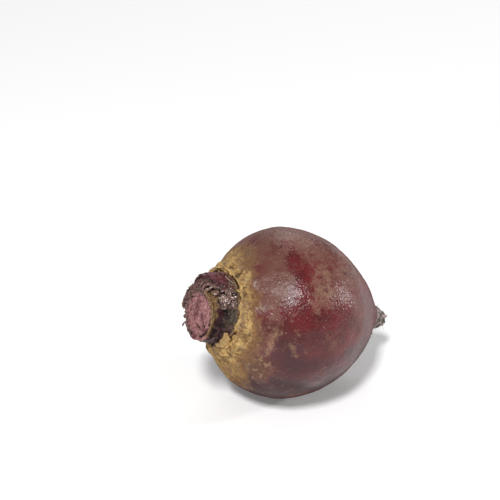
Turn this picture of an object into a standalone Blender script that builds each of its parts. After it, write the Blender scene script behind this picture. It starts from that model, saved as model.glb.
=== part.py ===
"""A trimmed beetroot lying on its side: a round root with a short tap root, and a stump of cut leaf stalks.

Each piece is shaped upright about the beetroot's own axis, in millimetres, with +Z towards the crown and the
origin in the middle of the widest girth. An azimuth turns about that axis: 0 is the side that ends up on top,
and -90 the side that ends up facing -Y. The beetroot is then laid down, with its crown end towards -X and a
little up, and the flat spot that it rests on at the world's origin.
"""

import math

import bmesh
import bpy
import numpy as np
from mathutils import Matrix, Vector, noise

MM = 0.001

# The root
GIRTH_RADIUS = 38.0
SEAT_HEIGHT = 33.2
SEAT_RADIUS = 16.0
COLLAR_RISE = 1.0
TAIL_LENGTH = 56.8
TAIL_START = 0.9 * GIRTH_RADIUS
# The crown sits a little off the axis, and the tail bends down from it
OFF_AXIS_AZIMUTH = 21.0
CROWN_OFFSET = 1.7
CROWN_OFFSET_START = 16.0
TAIL_BEND = 2.6
ROOT_SEGMENTS = 72
ROOT_RINGS = 48
SPIN_MERGE = 0.001

# Broad swellings and hollows of the root: angle from the crown, azimuth and spread, in degrees, then height
SWELLINGS = (
    (56, 178, 36, 1.6),
    (112, -150, 34, -1.2),
    (122, 12, 34, -1.7),
    (46, 24, 20, -1.4),
    (112, 178, 24, 0.9),
)

# Lumps all over it, as (size, height), and the wrinkles beside the stalks and on the tail
LUMPS = ((17.0, 0.55), (7.0, 0.2))
FURROW_HEIGHT = 2.2
FURROW_REACH = 5.5
FURROW_PACE = 4.5
SEAT_MARGIN = 0.4
SEAT_FADE = 2.5
CREASE_HEIGHT = 0.45
CREASE_PACE = 2.2
TAIL_RING_HEIGHT = 0.12
TAIL_RING_PACE = 2.1
TAIL_FADE = 8.0
POLE_FADE = 9.0

# The lie of the beetroot on the table
CROWN_TILT_DEG = 17.0
GIRTH_CENTRE = (0.9, -1.7, 37.2)

# Stubs of side roots on the tail: distance from the tip, azimuth in degrees, length
SIDE_ROOTS = ((2.5, 150, 1.8), (4.5, -60, 1.6), (6.5, 85, 2.2), (9.5, -150, 1.6))
SIDE_ROOT_RADIUS = 1.0
SIDE_ROOT_SIDES = 8

# The stump of leaf stalks, which leans away from the crown's own offset
FIT_GAP = 0.3
FOOT_RADIUS = SEAT_RADIUS - 1.0
NECK_RADIUS = 10.9
NECK_HEIGHT = 11.8
NECK_LEAN = 3.2
STALK_SINK = 0.8
# Each stalk's azimuth in degrees, width, thickness, height of its cut, outer edge there, and the cut's slope
STALKS = (
    (18, 19.0, 6.4, 9.6, 17.3, 0.25),
    (70, 14.0, 5.2, 12.0, 14.2, 0.20),
    (-34, 12.5, 5.6, 6.8, 14.2, 0.70),
    (-80, 5.0, 4.0, 3.4, 14.4, 0.30),
    (-126, 10.5, 3.6, 8.0, 12.2, 0.45),
    (-166, 9.5, 3.8, 10.4, 11.6, 0.30),
    (156, 12.0, 4.6, 8.2, 12.6, 0.50),
    (114, 13.0, 5.0, 10.6, 13.2, 0.35),
)

ROOT_COLOUR = (0.181, 0.054, 0.048)
ROOT_ROUGHNESS = 0.45
STALK_COLOUR = (0.17, 0.08, 0.075)
STALK_ROUGHNESS = 0.7


def root_stations():
    """The outline of the root as (height, radius), from the crown's seat to the tip of the tail."""
    g = GIRTH_RADIUS
    return [
        (SEAT_HEIGHT, 0.0),
        (SEAT_HEIGHT, 0.5 * SEAT_RADIUS),
        (SEAT_HEIGHT, SEAT_RADIUS - 0.4),
        (SEAT_HEIGHT + COLLAR_RISE, SEAT_RADIUS + 0.9),
        (0.80 * g, 0.53 * g),
        (0.66 * g, 0.67 * g),
        (0.46 * g, 0.855 * g),
        (0.20 * g, 0.975 * g),
        (-0.08 * g, 0.998 * g),
        (-0.38 * g, 0.925 * g),
        (-0.70 * g, 0.725 * g),
        (-0.98 * g, 0.47 * g),
        (-1.14 * g, 0.29 * g),
        (-0.85 * TAIL_LENGTH, 0.18 * g),
        (-0.92 * TAIL_LENGTH, 0.13 * g),
        (-0.975 * TAIL_LENGTH, 0.10 * g),
        (-0.995 * TAIL_LENGTH, 0.065 * g),
        (-TAIL_LENGTH, 0.0),
    ]


def smooth_through(points, per_span=40):
    """A centripetal Catmull-Rom curve through the points."""
    knots = np.array(points, float)
    ends = np.vstack([2 * knots[0] - knots[1], knots, 2 * knots[-1] - knots[-2]])
    curve = []
    for p0, p1, p2, p3 in zip(ends, ends[1:], ends[2:], ends[3:]):
        t1 = math.sqrt(np.linalg.norm(p1 - p0))
        t2 = t1 + math.sqrt(np.linalg.norm(p2 - p1))
        t3 = t2 + math.sqrt(np.linalg.norm(p3 - p2))
        for t in np.linspace(t1, t2, per_span, endpoint=False):
            a1 = ((t1 - t) * p0 + t * p1) / t1
            a2 = ((t2 - t) * p1 + (t - t1) * p2) / (t2 - t1)
            a3 = ((t3 - t) * p2 + (t - t2) * p3) / (t3 - t2)
            b1 = ((t2 - t) * a1 + t * a2) / t2
            b2 = ((t3 - t) * a2 + (t - t1) * a3) / (t3 - t1)
            curve.append(((t2 - t) * b1 + (t - t1) * b2) / (t2 - t1))
    curve.append(knots[-1])
    return np.array(curve)


def spaced_by_radius(curve, count):
    """Points along the outline, closer together where the root is thinner."""
    steps = np.linalg.norm(np.diff(curve, axis=0), axis=1)
    middle_radius = 0.5 * (curve[1:, 1] + curve[:-1, 1])
    share = np.concatenate([[0.0], np.cumsum(steps / (0.1 * GIRTH_RADIUS + middle_radius))])
    at = np.linspace(0.0, share[-1], count)
    return np.column_stack([np.interp(at, share, curve[:, 0]), np.interp(at, share, curve[:, 1])])


def around_axis(azimuth_deg, radius, height):
    """The point at this azimuth, distance from the axis and height."""
    a = math.radians(azimuth_deg)
    return Vector((radius * math.cos(a), radius * math.sin(a), height))


def bell(distance, width):
    return math.exp(-((distance / width) ** 2))


def clamped(share):
    return min(1.0, max(0.0, share))


def swelling(p):
    """The broad unevenness that makes the root lopsided."""
    total = 0.0
    for from_crown, azimuth, spread, height in SWELLINGS:
        centre = around_axis(azimuth, math.sin(math.radians(from_crown)), math.cos(math.radians(from_crown)))
        total += height * bell(math.degrees(p.angle(centre, 0.0)), spread)
    return total


def shoulder_furrows(p, radius):
    """Wrinkles that run outwards from the crown, deepest beside the stalks."""
    beside_crown = bell(radius - SEAT_RADIUS - SEAT_FADE, FURROW_REACH) if p.z > 0 else 0.0
    around = Vector((p.x, p.y, 0.0)).normalized() * FURROW_PACE
    return FURROW_HEIGHT * beside_crown * noise.noise(around + Vector((0, 0, p.z / 14)))


def tail_wrinkles(p, radius):
    """Lengthwise creases and rings on the tail."""
    on_tail = clamped((-p.z - TAIL_START) / TAIL_FADE)
    around = Vector((p.x, p.y, 0.0)) * CREASE_PACE / max(radius, 0.5)
    creases = CREASE_HEIGHT * noise.noise(around + Vector((0, 0, p.z / 9)))
    return on_tail * (creases + TAIL_RING_HEIGHT * math.sin(TAIL_RING_PACE * p.z))


def root_relief(p):
    """How far the real surface stands out from the turned outline at p."""
    radius = math.hypot(p.x, p.y)
    off_seat = clamped((radius - SEAT_RADIUS - SEAT_MARGIN) / SEAT_FADE) if p.z > 0 else 1.0
    lumps = sum(height * noise.noise(p / size) for size, height in LUMPS)
    broad = clamped(radius / POLE_FADE) * (swelling(p) + lumps)
    return off_seat * (broad + shoulder_furrows(p, radius) + tail_wrinkles(p, radius))


def object_from(name, bm):
    """A smooth-shaded mesh object, with its faces pointing out."""
    bmesh.ops.recalc_face_normals(bm, faces=bm.faces)
    mesh = bpy.data.meshes.new(name)
    bm.to_mesh(mesh)
    bm.free()
    mesh.shade_smooth()
    obj = bpy.data.objects.new(name, mesh)
    bpy.context.scene.collection.objects.link(obj)
    return obj


def lofted(name, rings, first, last):
    """A closed solid over rings of points, with a point at each end."""
    bm = bmesh.new()
    loops = [[bm.verts.new(p) for p in ring] for ring in rings]
    start = bm.verts.new(first)
    end = bm.verts.new(last)
    for a, b in zip(loops, loops[1:]):
        for i in range(len(a)):
            bm.faces.new((a[i - 1], a[i], b[i], b[i - 1]))
    for i in range(len(loops[0])):
        bm.faces.new((start, loops[0][i], loops[0][i - 1]))
        bm.faces.new((end, loops[-1][i - 1], loops[-1][i]))
    return object_from(name, bm)


def turned_root():
    """The root, turned from its outline and then made uneven."""
    outline = spaced_by_radius(smooth_through(root_stations()), ROOT_RINGS)
    bm = bmesh.new()
    verts = [bm.verts.new((radius, 0.0, height)) for height, radius in outline]
    edges = [bm.edges.new(pair) for pair in zip(verts, verts[1:])]
    bmesh.ops.spin(
        bm,
        geom=verts + edges,
        axis=(0, 0, 1),
        cent=(0, 0, 0),
        angle=2 * math.pi,
        steps=ROOT_SEGMENTS,
        use_merge=True,
    )
    bmesh.ops.remove_doubles(bm, verts=bm.verts, dist=SPIN_MERGE)
    bmesh.ops.recalc_face_normals(bm, faces=bm.faces)
    bm.normal_update()
    for v in bm.verts:
        v.co += v.normal * root_relief(v.co)
    for v in bm.verts:
        v.co += off_axis(v.co.z)
    return object_from("root", bm)


def off_axis(height):
    """How far the middle of the root lies beside the axis at this height."""
    at_crown = clamped((height - CROWN_OFFSET_START) / (SEAT_HEIGHT - CROWN_OFFSET_START))
    at_tail = max(0.0, -height - TAIL_START) / (TAIL_LENGTH - TAIL_START)
    return around_axis(OFF_AXIS_AZIMUTH, CROWN_OFFSET * at_crown**2 - TAIL_BEND * at_tail**1.5, 0.0)


def side_root(number, from_tip, azimuth, length):
    """The broken stub of one side root, sunk into the tail and drooping a little towards its tip."""
    height = from_tip - TAIL_LENGTH
    outward = around_axis(azimuth, 1.0, -0.25).normalized()
    across = outward.cross(Vector((0, 0, 1))).normalized()
    up = across.cross(outward)
    foot = Vector((0.0, 0.0, height)) + off_axis(height)
    tail_radius = float(np.interp(-height, *tail_outline()))
    reach = tail_radius + length
    rings = []
    for along in np.linspace(0.4 * tail_radius, reach, 6):
        beyond = max(0.0, along - tail_radius) / length
        r = float(SIDE_ROOT_RADIUS * (1.3 - 0.4 * along / reach - 0.4 * beyond**2))
        middle = foot + outward * along - Vector((0, 0, 0.35 * beyond**2))
        rings.append([middle + (across * math.cos(a) + up * math.sin(a)) * r for a in turn(SIDE_ROOT_SIDES)])
    return lofted(f"side_root_{number}", rings, middle_of(rings[0]), middle_of(rings[-1]))


def tail_outline():
    """Heights below the girth, rising, and the outline's radius at each."""
    tail = smooth_through(root_stations())
    tail = tail[tail[:, 0] < -TAIL_START]
    return -tail[:, 0], tail[:, 1]


def turn(count):
    return [2 * math.pi * i / count for i in range(count)]


def middle_of(ring):
    return sum(ring, Vector()) / len(ring)


def on_stump(azimuth_deg, radius, rise):
    """The point of the leaning stump at this azimuth, distance from its middle and height above its foot."""
    middle = around_axis(OFF_AXIS_AZIMUTH, CROWN_OFFSET - NECK_LEAN * rise / NECK_HEIGHT, 0.0)
    return middle + around_axis(azimuth_deg, radius, SEAT_HEIGHT + FIT_GAP + rise)


def neck():
    """The middle of the stump: the crown's neck, wide at its foot and cut across, its end a little dished."""
    outline = (
        (0.0, 0.6 * FOOT_RADIUS),
        (0.0, FOOT_RADIUS),
        (1.3, FOOT_RADIUS),
        (3.4, FOOT_RADIUS - 1.8),
        (6.4, NECK_RADIUS + 0.5),
        (9.5, NECK_RADIUS),
        (NECK_HEIGHT - 0.4, NECK_RADIUS - 0.2),
        (NECK_HEIGHT, NECK_RADIUS - 0.9),
        (NECK_HEIGHT - 0.4, 0.76 * NECK_RADIUS),
        (NECK_HEIGHT - 0.3, 0.3 * NECK_RADIUS),
    )
    rings = []
    for rise, radius in outline:
        ring = []
        for a in turn(36):
            azimuth = math.degrees(a)
            uneven = 0.6 * noise.noise(around_axis(azimuth, radius, rise) / 3.5) * min(1.0, rise / 5.0)
            ring.append(on_stump(azimuth, radius + uneven, rise + 0.6 * uneven))
        rings.append(ring)
    return lofted("leaf_stalks", rings, on_stump(0.0, 0.0, 0.0), on_stump(0.0, 0.0, NECK_HEIGHT))


def stalk(number, azimuth, width, thickness, cut_height, outer_edge, slope):
    """The stub of one leaf stalk: a thick crescent that hugs the neck, cut short and dished at its end."""
    rings = []
    for share, size in ((0.0, 1.0), (0.4, 1.04), (0.75, 1.0), (0.95, 0.93), (1.0, 0.8), (0.97, 0.45)):
        rise = STALK_SINK + share * (cut_height - STALK_SINK)
        middle_radius = FOOT_RADIUS + share * (outer_edge - FOOT_RADIUS) - 0.5 * thickness
        ring = []
        for a in turn(18):
            across = 0.5 * width * size * math.cos(a)
            out = 0.5 * thickness * size * math.sin(a)
            beside = azimuth + math.degrees(across / middle_radius)
            ring.append(on_stump(beside, middle_radius + out, rise - share * slope * out))
        rings.append(ring)
    return lofted(f"stalk_{number}", rings, middle_of(rings[0]), middle_of(rings[-1]))


def fused(obj, pieces):
    """Joins the pieces to obj with one Boolean union, and removes them."""
    together = bpy.data.collections.new("fused_to_" + obj.name)
    bpy.context.scene.collection.children.link(together)
    for piece in pieces:
        bpy.context.scene.collection.objects.unlink(piece)
        together.objects.link(piece)
    union = obj.modifiers.new("Union", "BOOLEAN")
    union.operation = "UNION"
    union.operand_type = "COLLECTION"
    union.collection = together
    union.solver = "EXACT"
    bpy.context.view_layer.update()
    graph = bpy.context.evaluated_depsgraph_get()
    joined = bpy.data.meshes.new_from_object(obj.evaluated_get(graph))
    obj.modifiers.remove(union)
    obj.data = joined
    for piece in pieces:
        bpy.data.objects.remove(piece)
    bpy.data.collections.remove(together)
    return obj


def lay_down(obj):
    """Turns the mesh onto its side, in metres, where it lies on the table."""
    tilt = Matrix.Rotation(math.radians(CROWN_TILT_DEG - 90), 4, "Y")
    obj.data.transform(Matrix.Scale(MM, 4) @ Matrix.Translation(GIRTH_CENTRE) @ tilt)


def flatten_foot(obj):
    """Cuts the small flat spot that the root rests on."""
    bm = bmesh.new()
    bm.from_mesh(obj.data)
    cut = bmesh.ops.bisect_plane(
        bm,
        geom=bm.verts[:] + bm.edges[:] + bm.faces[:],
        plane_co=(0, 0, 0),
        plane_no=(0, 0, -1),
        clear_outer=True,
    )
    rim = [e for e in cut["geom_cut"] if isinstance(e, bmesh.types.BMEdge)]
    bmesh.ops.contextual_create(bm, geom=rim)
    bmesh.ops.recalc_face_normals(bm, faces=bm.faces)
    bm.to_mesh(obj.data)
    bm.free()


def finish(obj, colour, roughness):
    """A plain material for the piece."""
    material = bpy.data.materials.new(obj.name)
    material.use_nodes = True
    shader = material.node_tree.nodes["Principled BSDF"]
    shader.inputs["Base Color"].default_value = (*colour, 1.0)
    shader.inputs["Roughness"].default_value = roughness
    obj.data.materials.clear()
    obj.data.materials.append(material)


def main():
    for old in list(bpy.data.objects):
        bpy.data.objects.remove(old)

    root = fused(turned_root(), [side_root(i, *stub) for i, stub in enumerate(SIDE_ROOTS)])
    lay_down(root)
    flatten_foot(root)
    finish(root, ROOT_COLOUR, ROOT_ROUGHNESS)

    stalks = fused(neck(), [stalk(i, *sizes) for i, sizes in enumerate(STALKS)])
    lay_down(stalks)
    finish(stalks, STALK_COLOUR, STALK_ROUGHNESS)


main()
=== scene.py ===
"""The finished look of a trimmed beetroot that lies on its side.

Every piece is shaped in millimetres about the beetroot's own axis, with +Z towards the crown and the origin
in the middle of the widest girth, and is then laid down into the row's frame. An azimuth turns about that
axis: 0 is the side that ends up on top, and -90 the side that ends up facing -Y.
"""

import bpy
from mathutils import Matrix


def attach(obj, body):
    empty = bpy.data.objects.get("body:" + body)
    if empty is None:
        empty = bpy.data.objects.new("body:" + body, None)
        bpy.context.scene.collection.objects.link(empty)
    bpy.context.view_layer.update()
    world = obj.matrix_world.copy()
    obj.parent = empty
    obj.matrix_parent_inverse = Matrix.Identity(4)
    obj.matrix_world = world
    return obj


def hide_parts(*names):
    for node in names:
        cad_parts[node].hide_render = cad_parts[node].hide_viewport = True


bl_info = {
    "name": "Trimmed beetroot",
    "version": (1, 0, 0),
    "blender": (4, 5, 0),
    "location": "3D View > Sidebar > Beetroot",
    "description": "Skin, cut leaf stalks, corky flakes and root hairs of a beetroot, and its stage",
    "category": "Object",
}

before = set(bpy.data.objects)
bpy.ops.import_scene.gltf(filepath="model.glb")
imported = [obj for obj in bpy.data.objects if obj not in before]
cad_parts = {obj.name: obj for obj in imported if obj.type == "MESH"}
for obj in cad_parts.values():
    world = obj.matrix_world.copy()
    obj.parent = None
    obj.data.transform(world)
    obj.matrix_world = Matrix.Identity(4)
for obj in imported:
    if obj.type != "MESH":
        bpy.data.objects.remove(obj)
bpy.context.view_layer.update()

import math
import random
from types import SimpleNamespace

import bmesh
import bpy
import numpy as np
from mathutils import Matrix, Vector, noise

MM = 0.001

# Shape of the root, as in the solids
SEAT_MARGIN = 0.4
SEAT_FADE = 2.5
COLLAR_WIDTH = 0.9
TAIL_START_SHARE = 0.9
OFF_AXIS_AZIMUTH = 21.0
CROWN_OFFSET = 1.7
CROWN_OFFSET_START = 16.0
TAIL_BEND = 2.6
# Swellings and dents: angle from the crown, azimuth, spread in degrees, height
SWELLINGS = (
    (56, 178, 36, 1.6),
    (112, -150, 34, -1.2),
    (122, 12, 34, -1.7),
    (46, 24, 20, -1.4),
    (112, 178, 24, 0.9),
)
# Lumps, as noises of this spacing and height
LUMPS = ((17.0, 0.55), (7.0, 0.2))
FURROW_HEIGHT = 2.2
FURROW_REACH = 5.5
FURROW_PACE = 4.5
FURROW_STRETCH = 14.0
CREASE_HEIGHT = 0.45
CREASE_PACE = 2.2
CREASE_STRETCH = 9.0
TAIL_RING_HEIGHT = 0.12
TAIL_RING_PACE = 2.1
TAIL_FADE = 8.0
POLE_FADE = 9.0
GIRTH_CENTRE = Vector((0.9, -1.7, 37.2))

# Side roots: distance from the tip, azimuth, length
SIDE_ROOTS = ((2.5, 150, 1.8), (4.5, -60, 1.6), (6.5, 85, 2.2), (9.5, -150, 1.6))
SIDE_ROOT_RADIUS = 1.0
SIDE_ROOT_RINGS = 16
SIDE_ROOT_SIDES = 20

# Fineness of the root's surface
ROOT_SEGMENTS = 372
SEAT_RINGS = 6
BODY_RINGS = 252
# A larger value spaces the rings more evenly, and a smaller one puts more of them on the thin tail
RING_EVENNESS = 0.35
FLOOR_CLEARANCE = 0.04
# A step aside in the noise, to read it again somewhere else
ASIDE = Vector((9.0, 17.0, 5.0))

# Fine unevenness, as noises of this spacing in millimetres and this height
CORK_BORDER_RAGGED = ((7.0, 3.0), (2.6, 1.5))
PATCH_RAGGED = ((4.5, 0.35), (1.8, 0.25))
DUST_UNEVEN = ((8.0, 0.6), (3.0, 0.5))
DIMPLES = ((2.8, 1.0), (1.1, 0.7))
CORK_CRUMPLED = ((1.4, 0.55), (0.8, 0.35))
COLLAR_UNEVEN = ((2.6, 1.5), (1.1, 0.9))
STUMP_RAGGED = ((2.0, 0.8), (0.8, 0.4))
NECK_UNEVEN = ((4.5, 0.9), (1.8, 0.5))
TORN_ENDS = ((1.1, 1.0), (0.55, 0.6))
FLAKE_UNEVEN = ((0.8, 0.16), (0.4, 0.1))

# The cork fades out over this width, and over less of it on the side where its border is sharp.
# Sides are given by their first and last azimuth, and by how far they fade out beyond them.
CORK_FADE = 12.0
SHARP_BORDER_SIDE = (-25, -85, 20)
SHARP_BORDER_LESS = 5.0
# The azimuth that most dust lies on, and the angle from the crown past which it thins out
DUSTY_SIDE = 5.0
DUST_THINS_PAST = 95.0
# Heights above which the cork has knobs, and swells up as a collar round the stump
KNOBS_ABOVE = 20.0
COLLAR_ABOVE = 30.0
COLLAR_RADIUS = 16.1
COLLAR_SPREAD = 0.9
# The azimuth where the collar leaves a gap beside the stump, and how far the gap reaches to each side
COLLAR_GAP = -26.0
COLLAR_GAP_REACH = 26.0
# Where the dry tip of the tail begins, and how fast
DRY_TIP_START = 44.0
DRY_TIP_FADE = 6.0
# No scratch has a stretch longer than this
LONGEST_STRETCH = 12.0

# Where the corky zone round the crown ends: azimuth, and angle from the crown, in degrees
CORK_EDGE = (
    (-180, 60),
    (-160, 58),
    (-148, 53),
    (-140, 45),
    (-131, 41),
    (-118, 41),
    (-100, 39),
    (-84, 35),
    (-68, 34),
    (-45, 35),
    (-30, 37),
    (-13, 40),
    (0, 43),
    (22, 54),
    (50, 55),
    (90, 50),
    (130, 55),
    (180, 60),
)

# Brown stains on the cork: azimuth, height, spread along the axis, spread around, strength
STAINS = (
    (-128, 24.5, 4.5, 8.0, 1.1),
    (-138, 32.5, 2.5, 6.0, -0.5),
    (-38, 31.5, 2.4, 4.0, -0.5),
    (15, 29.5, 2.4, 5.0, 0.4),
    (-96, 27.5, 2.6, 4.5, 0.75),
    (-64, 30.0, 3.0, 5.0, 0.6),
    (-4, 26.5, 3.0, 4.5, 0.7),
    (18, 24.0, 3.0, 3.5, 0.5),
    (75, 26.0, 4.0, 6.0, 0.7),
    (140, 24.0, 5.0, 7.0, 0.6),
    (-170, 26.0, 3.0, 5.0, 0.6),
)

# Knobs and clefts of the cork beside the stalks:
# azimuth, angle from the crown, spread along, spread around, height
CORK_KNOBS = (
    (-24, 31.5, 3.0, 2.2, 1.0),
    (-6.0, 33.2, 1.2, 0.9, -1.1),
    (-10.5, 30.6, 1.2, 1.1, -1.6),
    (-15.0, 27.8, 1.2, 1.1, -1.6),
    (-37, 29.5, 1.2, 0.9, -0.6),
    (-5, 31.0, 2.4, 1.6, 0.9),
    (6, 29.0, 1.0, 1.1, -1.1),
    (12, 33.0, 2.2, 1.2, 0.8),
    (20, 30.0, 1.4, 1.0, -0.8),
    (27, 34.0, 1.6, 1.4, 0.9),
    (-46, 28.5, 1.1, 2.6, -0.7),
    (-58, 30.5, 1.8, 2.4, 0.5),
    (-86, 29.5, 2.0, 1.0, 0.5),
    (-95, 30.5, 2.4, 0.9, 0.7),
    (-103, 29.0, 1.8, 1.1, 0.6),
    (-118, 30.0, 3.2, 1.6, 0.8),
    (-128, 30.5, 1.6, 1.4, 0.9),
    (-137, 29.0, 1.4, 1.6, 1.0),
    (-146, 30.0, 1.6, 1.4, 0.8),
    (-132, 28.5, 1.0, 1.0, -0.9),
    (-142, 31.0, 1.0, 1.0, -0.8),
    (36, 31.0, 1.8, 2.2, 0.9),
    (47, 33.0, 1.2, 2.6, -0.8),
    (58, 31.0, 2.0, 1.6, 0.8),
    (71, 32.0, 1.4, 1.4, 0.7),
    (83, 30.5, 1.2, 2.4, -0.8),
    (95, 32.0, 2.2, 1.5, 0.9),
    (108, 31.0, 1.6, 1.8, 0.6),
    (119, 33.0, 1.1, 2.0, -0.7),
    (131, 31.0, 2.2, 1.4, 0.9),
    (145, 32.0, 1.5, 2.2, 0.7),
    (158, 30.5, 1.2, 1.6, -0.8),
    (170, 32.0, 2.0, 1.8, 0.9),
    (-176, 31.0, 1.4, 1.6, 0.6),
    (-164, 33.0, 1.2, 2.4, -0.7),
    (-155, 30.5, 1.8, 1.5, 0.8),
)

# Patches of clean, deep red skin: azimuth, height, spread along, spread around, strength
CLEAN_PATCHES = (
    (-33, 13.6, 3.4, 9.0, 1.0),
    (-47, 13.8, 2.6, 6.0, 0.9),
    (-62, 17.0, 5.0, 6.0, 0.8),
    (-82, 14.0, 7.5, 11.0, 1.1),
    (-68, -1.5, 8.5, 7.0, 1.0),
    (-100, 2.0, 12.0, 12.0, 0.6),
    (-20, -12.0, 7.0, 14.0, 0.5),
    (60, 2.0, 9.0, 16.0, 0.7),
    (120, -4.0, 10.0, 14.0, 0.8),
    (165, 12.0, 8.0, 12.0, 0.7),
)

# Patches where pale soil has dried on the skin: azimuth, height, spread along, spread around, strength
SOIL_PATCHES = (
    (-50, 7.5, 4.5, 9.0, 1.0),
    (-38, 4.5, 3.5, 8.0, 0.7),
    (-62, 11.0, 3.0, 5.0, 0.5),
    (-12, 11.0, 5.0, 9.0, 0.6),
    (-28, -10.0, 8.0, 11.0, 0.95),
    (-14, 3.0, 2.6, 4.0, 0.6),
    (-74, 24.0, 3.0, 9.0, 0.6),
    (-97, 24.0, 1.6, 5.0, 1.0),
    (-92, 17.0, 1.0, 5.5, 0.9),
    (-123, 23.0, 4.0, 7.0, 0.5),
    (35, -8.0, 5.0, 10.0, 0.6),
    (100, 6.0, 4.0, 9.0, 0.7),
    (150, -14.0, 5.0, 8.0, 0.6),
    (-165, -6.0, 4.0, 8.0, 0.5),
)

# Pale scratches and streaks on the skin: the points they pass through about the axis, and their width
MARKS = (
    (((0.4, -31.7, 18.5), (-1.6, -32.9, 17.0), (-4.2, -33.5, 15.2)), 0.75),
    (((6.6, -31.6, 17.8), (4.6, -32.9, 15.8)), 0.45),
    (((-0.5, -34.8, 13.0), (-2.4, -35.3, 11.6)), 0.40),
    (((4.6, -27.2, 23.0), (-2.7, -26.6, 24.2), (-8.4, -25.6, 23.8)), 1.1),
    (((8.5, -27.2, 21.6), (3.0, -28.6, 21.8)), 0.6),
    (((24.0, -27.8, 9.6), (21.5, -31.0, 5.0)), 0.6),
    (((-12.0, -34.5, 2.0), (-13.5, -34.0, -1.0)), 0.45),
    (((20.0, 24.0, 18.0), (16.0, 26.0, 19.5)), 0.7),
    (((-18.0, 29.0, 8.0), (-21.0, 28.0, 5.0)), 0.6),
)

# The stump of leaf stalks, as in the solids
FIT_GAP = 0.3
FOOT_INSET = 1.0
NECK_RADIUS = 10.9
NECK_LEAN = 3.2
NECK_SIDES = 72
STALK_SINK = 0.8
STALK_SIDES = 48
# Up the outside of a stalk and down into its end: share of the height, and size as a share of the foot's
STALK_OUTLINE = ((0.0, 1.0), (0.4, 1.03), (0.75, 0.97), (0.94, 0.92), (1.0, 0.84), (0.93, 0.64), (0.84, 0.3))
STALK_TAPER = 0.22
# Azimuth, width, thickness, height of the cut, outer edge there, slope of the cut
STALKS = (
    (18, 19.0, 6.4, 9.6, 17.3, 0.25),
    (70, 14.0, 5.2, 12.0, 14.2, 0.20),
    (-34, 12.5, 5.6, 6.8, 14.2, 0.70),
    (-80, 5.0, 4.0, 3.4, 14.4, 0.30),
    (-126, 10.5, 3.6, 8.0, 12.2, 0.45),
    (-166, 9.5, 3.8, 10.4, 11.6, 0.30),
    (156, 12.0, 4.6, 8.2, 12.6, 0.50),
    (114, 13.0, 5.0, 10.6, 13.2, 0.35),
)
STUMP_VOXEL = 0.26

# Stretches of the torn rim: first and last azimuth, how far below the top, width
RIM_STRETCHES = ((-8, -66, 0.5, 1.5), (-52, -112, 0.3, 1.3), (-104, -150, 0.4, 1.1))
RIM_POINTS = 13
RIM_THICKNESS = 1.0
STRAND_COUNT = 26
STRAND_THICKNESS = 0.6
# Azimuths of the folds that run up the outside of the stalks
FOLDS = (
    *(-16, -9, -1, 8, 17, 27, 36, 49, 58, 69, 81, 93),
    *(108, 121, 133, 147, 160, 174, -172, -160, -148, -136, -122),
)
FOLD_THICKNESS = 0.9
BRACT_COUNT = 30
BRACT_RADIUS = 14.6
BRACT_THICKNESS = 0.8
# Lumps on the side that shows, and on the other side
SEEN_LUMPS = 30
HIDDEN_LUMPS = 16
# The green bud and its two neighbours: azimuth, radius, rise, half sizes
BUDS = (
    (-77, 12.9, 2.9, (2.4, 1.6, 2.2)),
    (-70, 12.6, 4.6, (1.2, 1.0, 1.1)),
    (-88, 12.9, 1.8, (1.3, 1.1, 1.0)),
)
LUMP_RINGS = 9
LUMP_SIDES = 16
LUMP_CAP = 0.45 * math.pi
# The green tint round the bud: azimuth and rise of its middle, and its spread in each
BUD_AT = (-78.0, 3.0)
BUD_SPREAD = (13.0, 2.3)
# The pink cut end: its radius, how much wider it is on one side, and how far below the top it reaches
CUT_RADIUS = 9.5
CUT_WIDENING = 2.0
CUT_WIDE_SIDE = (-122, -178, 12)
CUT_DEPTH = 2.6
CUT_GRAIN_TURN = math.radians(-35.0)
# The ochre rim outside it: its radii, its lowest height, and how much lower it reaches on one side
RIM_RADII = (9.7, 12.6)
RIM_LOWEST = 8.8
RIM_LOWER = 1.4
RIM_LOW_SIDE = (-6, -58, 12)
RIM_SIDE = (-6, -124, 8)
# The dark gap between the cut end and the rim
GAP_WIDTH = 0.45
GAP_SIDE = (-22, -130, 8)
GAP_SHAPE_RADIUS = 9.3
GAP_SHAPE_SIDE = (-20, -150, 20)
GAP_DEPTH = 0.6
# Other sides of the stump, by what covers or shapes them
STRAND_SIDE = (-6, 150, 14)
LUMPY_SIDE = (-10, -58, 7)
LUMPY_OUTSIDE = (-36, -58, 8)
DARK_SIDE = (-14, 60, 10)
CRUMPLED_SIDE = (2, -60, 8)
CREASED_SIDE = (60, 200, 15)
HOLLOW_SIDE = (-66, -118, 8)
HOLLOW_DEPTH = 0.8
FOLD_HEIGHT = 0.55

# Clefts in the cut end: azimuth, distance from its middle, reach, depth
CUT_CLEFTS = (
    (-174, 4.5, 0.75, 1.2),
    (-163, 4.9, 0.85, 1.7),
    (-152, 5.5, 0.75, 1.2),
    (40, 7.2, 0.80, 1.4),
    (52, 5.6, 0.50, 0.9),
    (20, 8.2, 0.60, 1.2),
    (-110, 6.8, 0.50, 0.8),
    (95, 6.5, 0.60, 1.0),
)

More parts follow.
